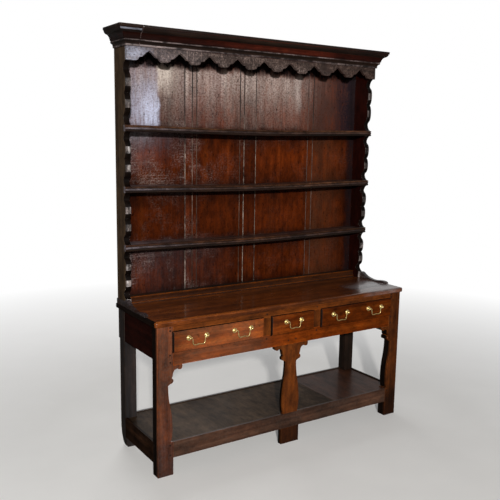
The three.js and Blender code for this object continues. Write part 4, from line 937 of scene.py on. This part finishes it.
def make_cornice():
    """A moulding in front with mitred returns and a crack near its left end, and the board on top of the rack."""
    def place(share):
        return (share[0] * CORNICE_REACH, CORNICE_BOTTOM + share[1] * (OVERALL_HEIGHT - CORNICE_BOTTOM))

    profile = [(0, CORNICE_BOTTOM), place((0.12, 0))] + follow((0.12, 0), CORNICE, place, 6) + [(0, OVERALL_HEIGHT)]
    crack, width = -692, 2.2
    stations = [-HALF_RACK, -722, crack - width, crack, crack + width] + steps_between(-650, HALF_RACK, 50)
    rings = [[(-HALF_RACK - out, y, z) for out, z in profile] for y in (RACK_BACK, RACK_BACK - 70)]
    for x in stations:
        corner = abs(x) == HALF_RACK
        ring = []
        for out, z in profile:
            worn = 0 if corner or not out else 0.6 * wander(x * 0.008, z * 0.03, 2.2)
            worn += 2 if x == crack and out else 0
            lift = 0 if corner or z > OVERALL_HEIGHT - 1 else 0.5 * wander(x * 0.01, 4.4, 1.1)
            ring.append((x + copysign(out, x) if corner else x, FRIEZE_FRONT - out + worn, z + lift))
        rings.append(ring)
    rings += [[(HALF_RACK + out, y, z) for out, z in profile] for y in (RACK_BACK - 70, RACK_BACK)]

    # By height on the moulding: a painted reflection on the upper cove near the left end, painted glints on the bottom
    # fillet, the astragal and in the crack, dark faces on the top fillet, the upper cove and the quirks, partly painted
    # shade, and the red band in the cyma between.
    def moulding_tag(ring, i):
        (out, z), (next_out, next_z) = profile[i], profile[(i + 1) % len(profile)]
        if min(out, next_out) > CORNICE_REACH - 0.1:
            return 1
        if not out and not next_out:
            return 1
        if ring in (4, 5):
            return 3
        middle = ((z + next_z) / 2 - CORNICE_BOTTOM) / (OVERALL_HEIGHT - CORNICE_BOTTOM)
        if middle > 0.64:
            return 2 if 2 <= ring < 4 and 0.72 < middle < 0.82 else 1
        return 3 if middle < 0.1 or 0.27 < middle < 0.34 else 1 if middle < 0.4 else 0

    base, rubbed = finish("cornice", "x", 57, 1.8)
    make("cornice", Shape().rings(rings, moulding_tag),
         (base, plain("dark", "x", 59), PAINTED_REFLECTION, plain("bead", "x", 62), rubbed), edge=0.8)
    make("top_board", Shape().board("x", (-HALF_RACK, HALF_RACK), (FRIEZE_FRONT, RACK_BACK),
                                    (RACK_TOP, OVERALL_HEIGHT - 0.2)), finish("pot", "x", 58))


# -------- pegs and nails

def make_pegs():
    pegs, nails = Shape(), Shape()

    def peg(x, z):
        pegs.turned([(0, 3), (4.3, 3), (4.3, -0.15), (3.655, -0.5), (0, -0.5)], (x, 0, z), sides=9)

    for _, side in SIDES:
        for z in (703, 688, 575, 541, 146, 98):
            peg(side * (LEG_INNER + 14 + z % 3), z)
        for z in (697, 573):
            peg(side * (CENTRE_HALF + MUNTIN_OUTER) / 2, z)
        profile = [(radius, side * out) for radius, out in ((0, -3), (4.3, -3), (4.3, 0.2), (3.6, 0.5), (0, 0.5))]
        for y in (LEG_THICKNESS - 14, BACK_LEG_FRONT + 15):
            for z in (146, 74):
                pegs.turned(profile, (side * HALF_BASE, y, z), axis="x", sides=9)
    peg(-22, 545)
    peg(24, 548)

    def nail(x, y, z, out=-1, axis="y", proud=0.7, radius=2.6):
        """A nail's head that stands out one way or the other along an axis."""
        profile = [(0, -out), (radius, -out), (radius, 0), (radius * 0.7, out * proud), (0, out * proud)]
        nails.turned(profile, (x, y, z), axis=axis, sides=8)

    for x in (-690, -560, -430, -360, -230, -110, 95, 210, 280, 335, 450, 570, 690):
        wobble = 3 * wander(x * 0.13, 1, 2)
        nail(x + wobble, BASE_DEPTH - 19 + wobble / 2, BOARD_TOP, 1, "z")
        if abs(x) < 650:
            nail(x - wobble, 30 + wobble, BOARD_TOP, 1, "z")
    for x in (-700, -560, -400, -330, -180, -60, 60, 180, 330, 440, 560, 700):
        for z in SHELVES:
            nail(x, RACK_BACK, z + 5 + 2 * wander(x, z, 0.5), 1)
        nail(x, RACK_BACK, 1990, 1)
        nail(x, RACK_BACK, 755, 1)
    for x in (-738, 738):
        for z in (1905, 1928):
            nail(x, FRIEZE_FRONT, z)
    for x in (-640, -300, 60, 400, 690):
        nail(x, FRIEZE_FRONT - 20, 1968, proud=0.4, radius=1.8)
    for x in (-728, -480, -240, 0, 240, 480, 728):
        nail(x, TABLE_BACK - 0.8, 575, 1)
        nail(x, TABLE_BACK - 0.8, 690, 1)
    make("pegs", pegs, finish("dark", "y", 60)[:1], edge=0, in_cad=False)
    make("nails", nails, (IRON,), edge=0, in_cad=False)


# -------- studio

def make_studio():
    scene = bpy.context.scene
    world = bpy.data.worlds.new("studio")
    scene.world = world
    world.use_nodes = True
    tree = world.node_tree
    tree.nodes.clear()
    rays = node(tree, "LightPath").outputs
    direction = node(tree, "TexCoord").outputs["Generated"]
    facing = node(tree, "VectorMath", {0: direction, 1: (0.8, 0.6, 0)}, operation="DOT_PRODUCT")
    glossy = ramp(tree, ranged(tree, facing.outputs["Value"], -1, 1), [(0.62, 0.02), (0.94, 0.65)])
    level = mix(tree, rays["Is Glossy Ray"], (0.065, 0.064, 0.063), glossy)
    for ray in ("Is Transmission Ray", "Is Camera Ray"):
        level = mix(tree, rays[ray], level, (1, 1, 1))
    background = node(tree, "Background", {"Color": level, "Strength": 1})
    node(tree, "OutputWorld", {0: background.outputs[0]})

    def lamp(name, place, target, size, power, colour=(1, 1, 1)):
        light = bpy.data.lights.new(name, "AREA")
        light.shape, light.size, light.size_y = "RECTANGLE", size[0], size[1]
        light.energy, light.color = power, colour
        holder = placed(name, light)
        holder.location = place
        holder.rotation_euler = (Vector(target) - Vector(place)).to_track_quat("-Z", "Y").to_euler()

    lamp("key", (-3.25, -5.6, 2.75), (0, 0, 0.95), (0.22, 0.22), 490, (1, 0.98, 0.95))
    lamp("window", (0.95, -3.2, 2.1), (-0.5, 0.2, 1.7), (0.3, 0.9), 2, (0.86, 0.92, 1))
    lamp("panel", (2.2, -3.3, 2.65), (0.2, 0.1, 1.2), (2.2, 1.2), 3, (0.95, 0.97, 1))
    lamp("back", (0.6, 3.2, 2.6), (0, 0, 1), (2.4, 2), 42)

    floor = bpy.data.meshes.new("floor")
    rim = [(x, y, 0) for x, y in circle(7, 48)]
    floor.from_pydata(rim, [], [tuple(range(len(rim)))])
    material, tree, shader, place = new_material("pale floor", {"Roughness": 0.6})
    rays = node(tree, "LightPath").outputs
    shown = rays["Is Camera Ray"]
    pale = ramp(tree, clouds(tree, place, 3, 3)[0], [(0.3, (0.8, 0.79, 0.77)), (0.7, (0.84, 0.83, 0.81))])
    unseen = mix(tree, rays["Is Glossy Ray"], (0.32, 0.28, 0.235), (0.05, 0.04, 0.03))
    feed(tree, shader, {"Base Color": mix(tree, shown, unseen, pale)})
    far = node(tree, "VectorMath", {0: place}, operation="LENGTH").outputs["Value"]
    fade = ramp(tree, ranged(tree, far, 1.2, 4), [(0, 0.15), (1, 1)])
    seen = node(tree, "Math", {0: fade, 1: shown}, operation="MULTIPLY").outputs[0]
    white = node(tree, "Emission", {"Color": (1, 1, 1), "Strength": 1})
    blend = node(tree, "MixShader", {0: seen, 1: shader.outputs[0], 2: white.outputs[0]})
    feed(tree, tree.nodes["Material Output"], {"Surface": blend.outputs[0]})
    floor.materials.append(material)
    placed("floor", floor)


def make_camera():
    data = bpy.data.cameras.new("photo camera")
    data.lens, data.sensor_width, data.sensor_fit = 49.5, 36, "HORIZONTAL"
    camera = placed("photo camera", data)
    yaw, pitch, roll = radians(-33.342), radians(-9.218), radians(0.893)
    forward = Vector((-sin(yaw) * cos(pitch), cos(yaw) * cos(pitch), sin(pitch)))
    right = Vector((cos(yaw), sin(yaw), 0))
    up = right.cross(forward)
    across = cos(roll) * right + sin(roll) * up
    upward = -sin(roll) * right + cos(roll) * up
    turn = Matrix((across, upward, -forward)).transposed().to_4x4()
    camera.matrix_world = Matrix.Translation((-2.0191, -2.8747, 1.5417)) @ turn
    bpy.context.scene.camera = camera


TOP_BAY_DARK = up((1.5, 1.9), 0.1, 1, 0.4, 0.5, 0.7, 0.06)
# A painted blue-white reflection on the cornice's upper cove near its left end.
PAINTED_REFLECTION = oak("painted reflection on glazed polish", "x", (0.02, 0.02, 0.022), (0.16, 0.17, 0.21), (0.55, 0.57, 0.66), rough=0.3, gloss=0.5,
             seed=71, figure=1)
# Pale lines along the back boards' joints and grooves, partly dust and partly painted highlights, darker in the top
# bay; the second is fainter.
DUST_AND_HIGHLIGHT = oak("dusty groove with painted highlight", "z", (0.06, 0.04, 0.03), (0.26, 0.2, 0.165), (0.5, 0.42, 0.36), rough=0.6, gloss=0,
            seed=70, specular=0.1, figure=1, dirt_and_shade_levels=[TOP_BAY_DARK], patchy=0.9)
FAINT_DUST_AND_HIGHLIGHT = oak("faint dusty groove with painted highlight", "z", (0.02, 0.012, 0.008), (0.075, 0.038, 0.024), (0.2, 0.13, 0.1), rough=0.5, gloss=0.2,
            seed=72, figure=1, dirt_and_shade_levels=[TOP_BAY_DARK], patchy=0.7)
# Arrises of the rack ends, lighter and glossier from polishing by use, with painted glints on the crests of the
# scallops.
POLISHED_AND_GLINTING = oak("hand-polished arris with painted glints", "z", (0.01, 0.007, 0.006), (0.24, 0.2, 0.19), (1, 0.96, 0.96), rough=0.3,
               gloss=1, seed=73, figure=1, crackle=0.5, patchy=0.9)

bpy.context.scene.view_settings.view_transform = "Standard"
make_camera()
make_studio()
make_base()
make_table()
make_drawers()
make_rack_ends()
make_shelves()
make_back_boards()
make_rack_rails()
make_cornice()
make_pegs()

for name in ("drawer_runner_left", "drawer_runner_right", "drawer_runner_centre_left", "drawer_runner_centre_right"):
    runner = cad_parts[name]
    runner.data.materials.clear()
    runner.data.materials.append(plain("inner", "y", 61))
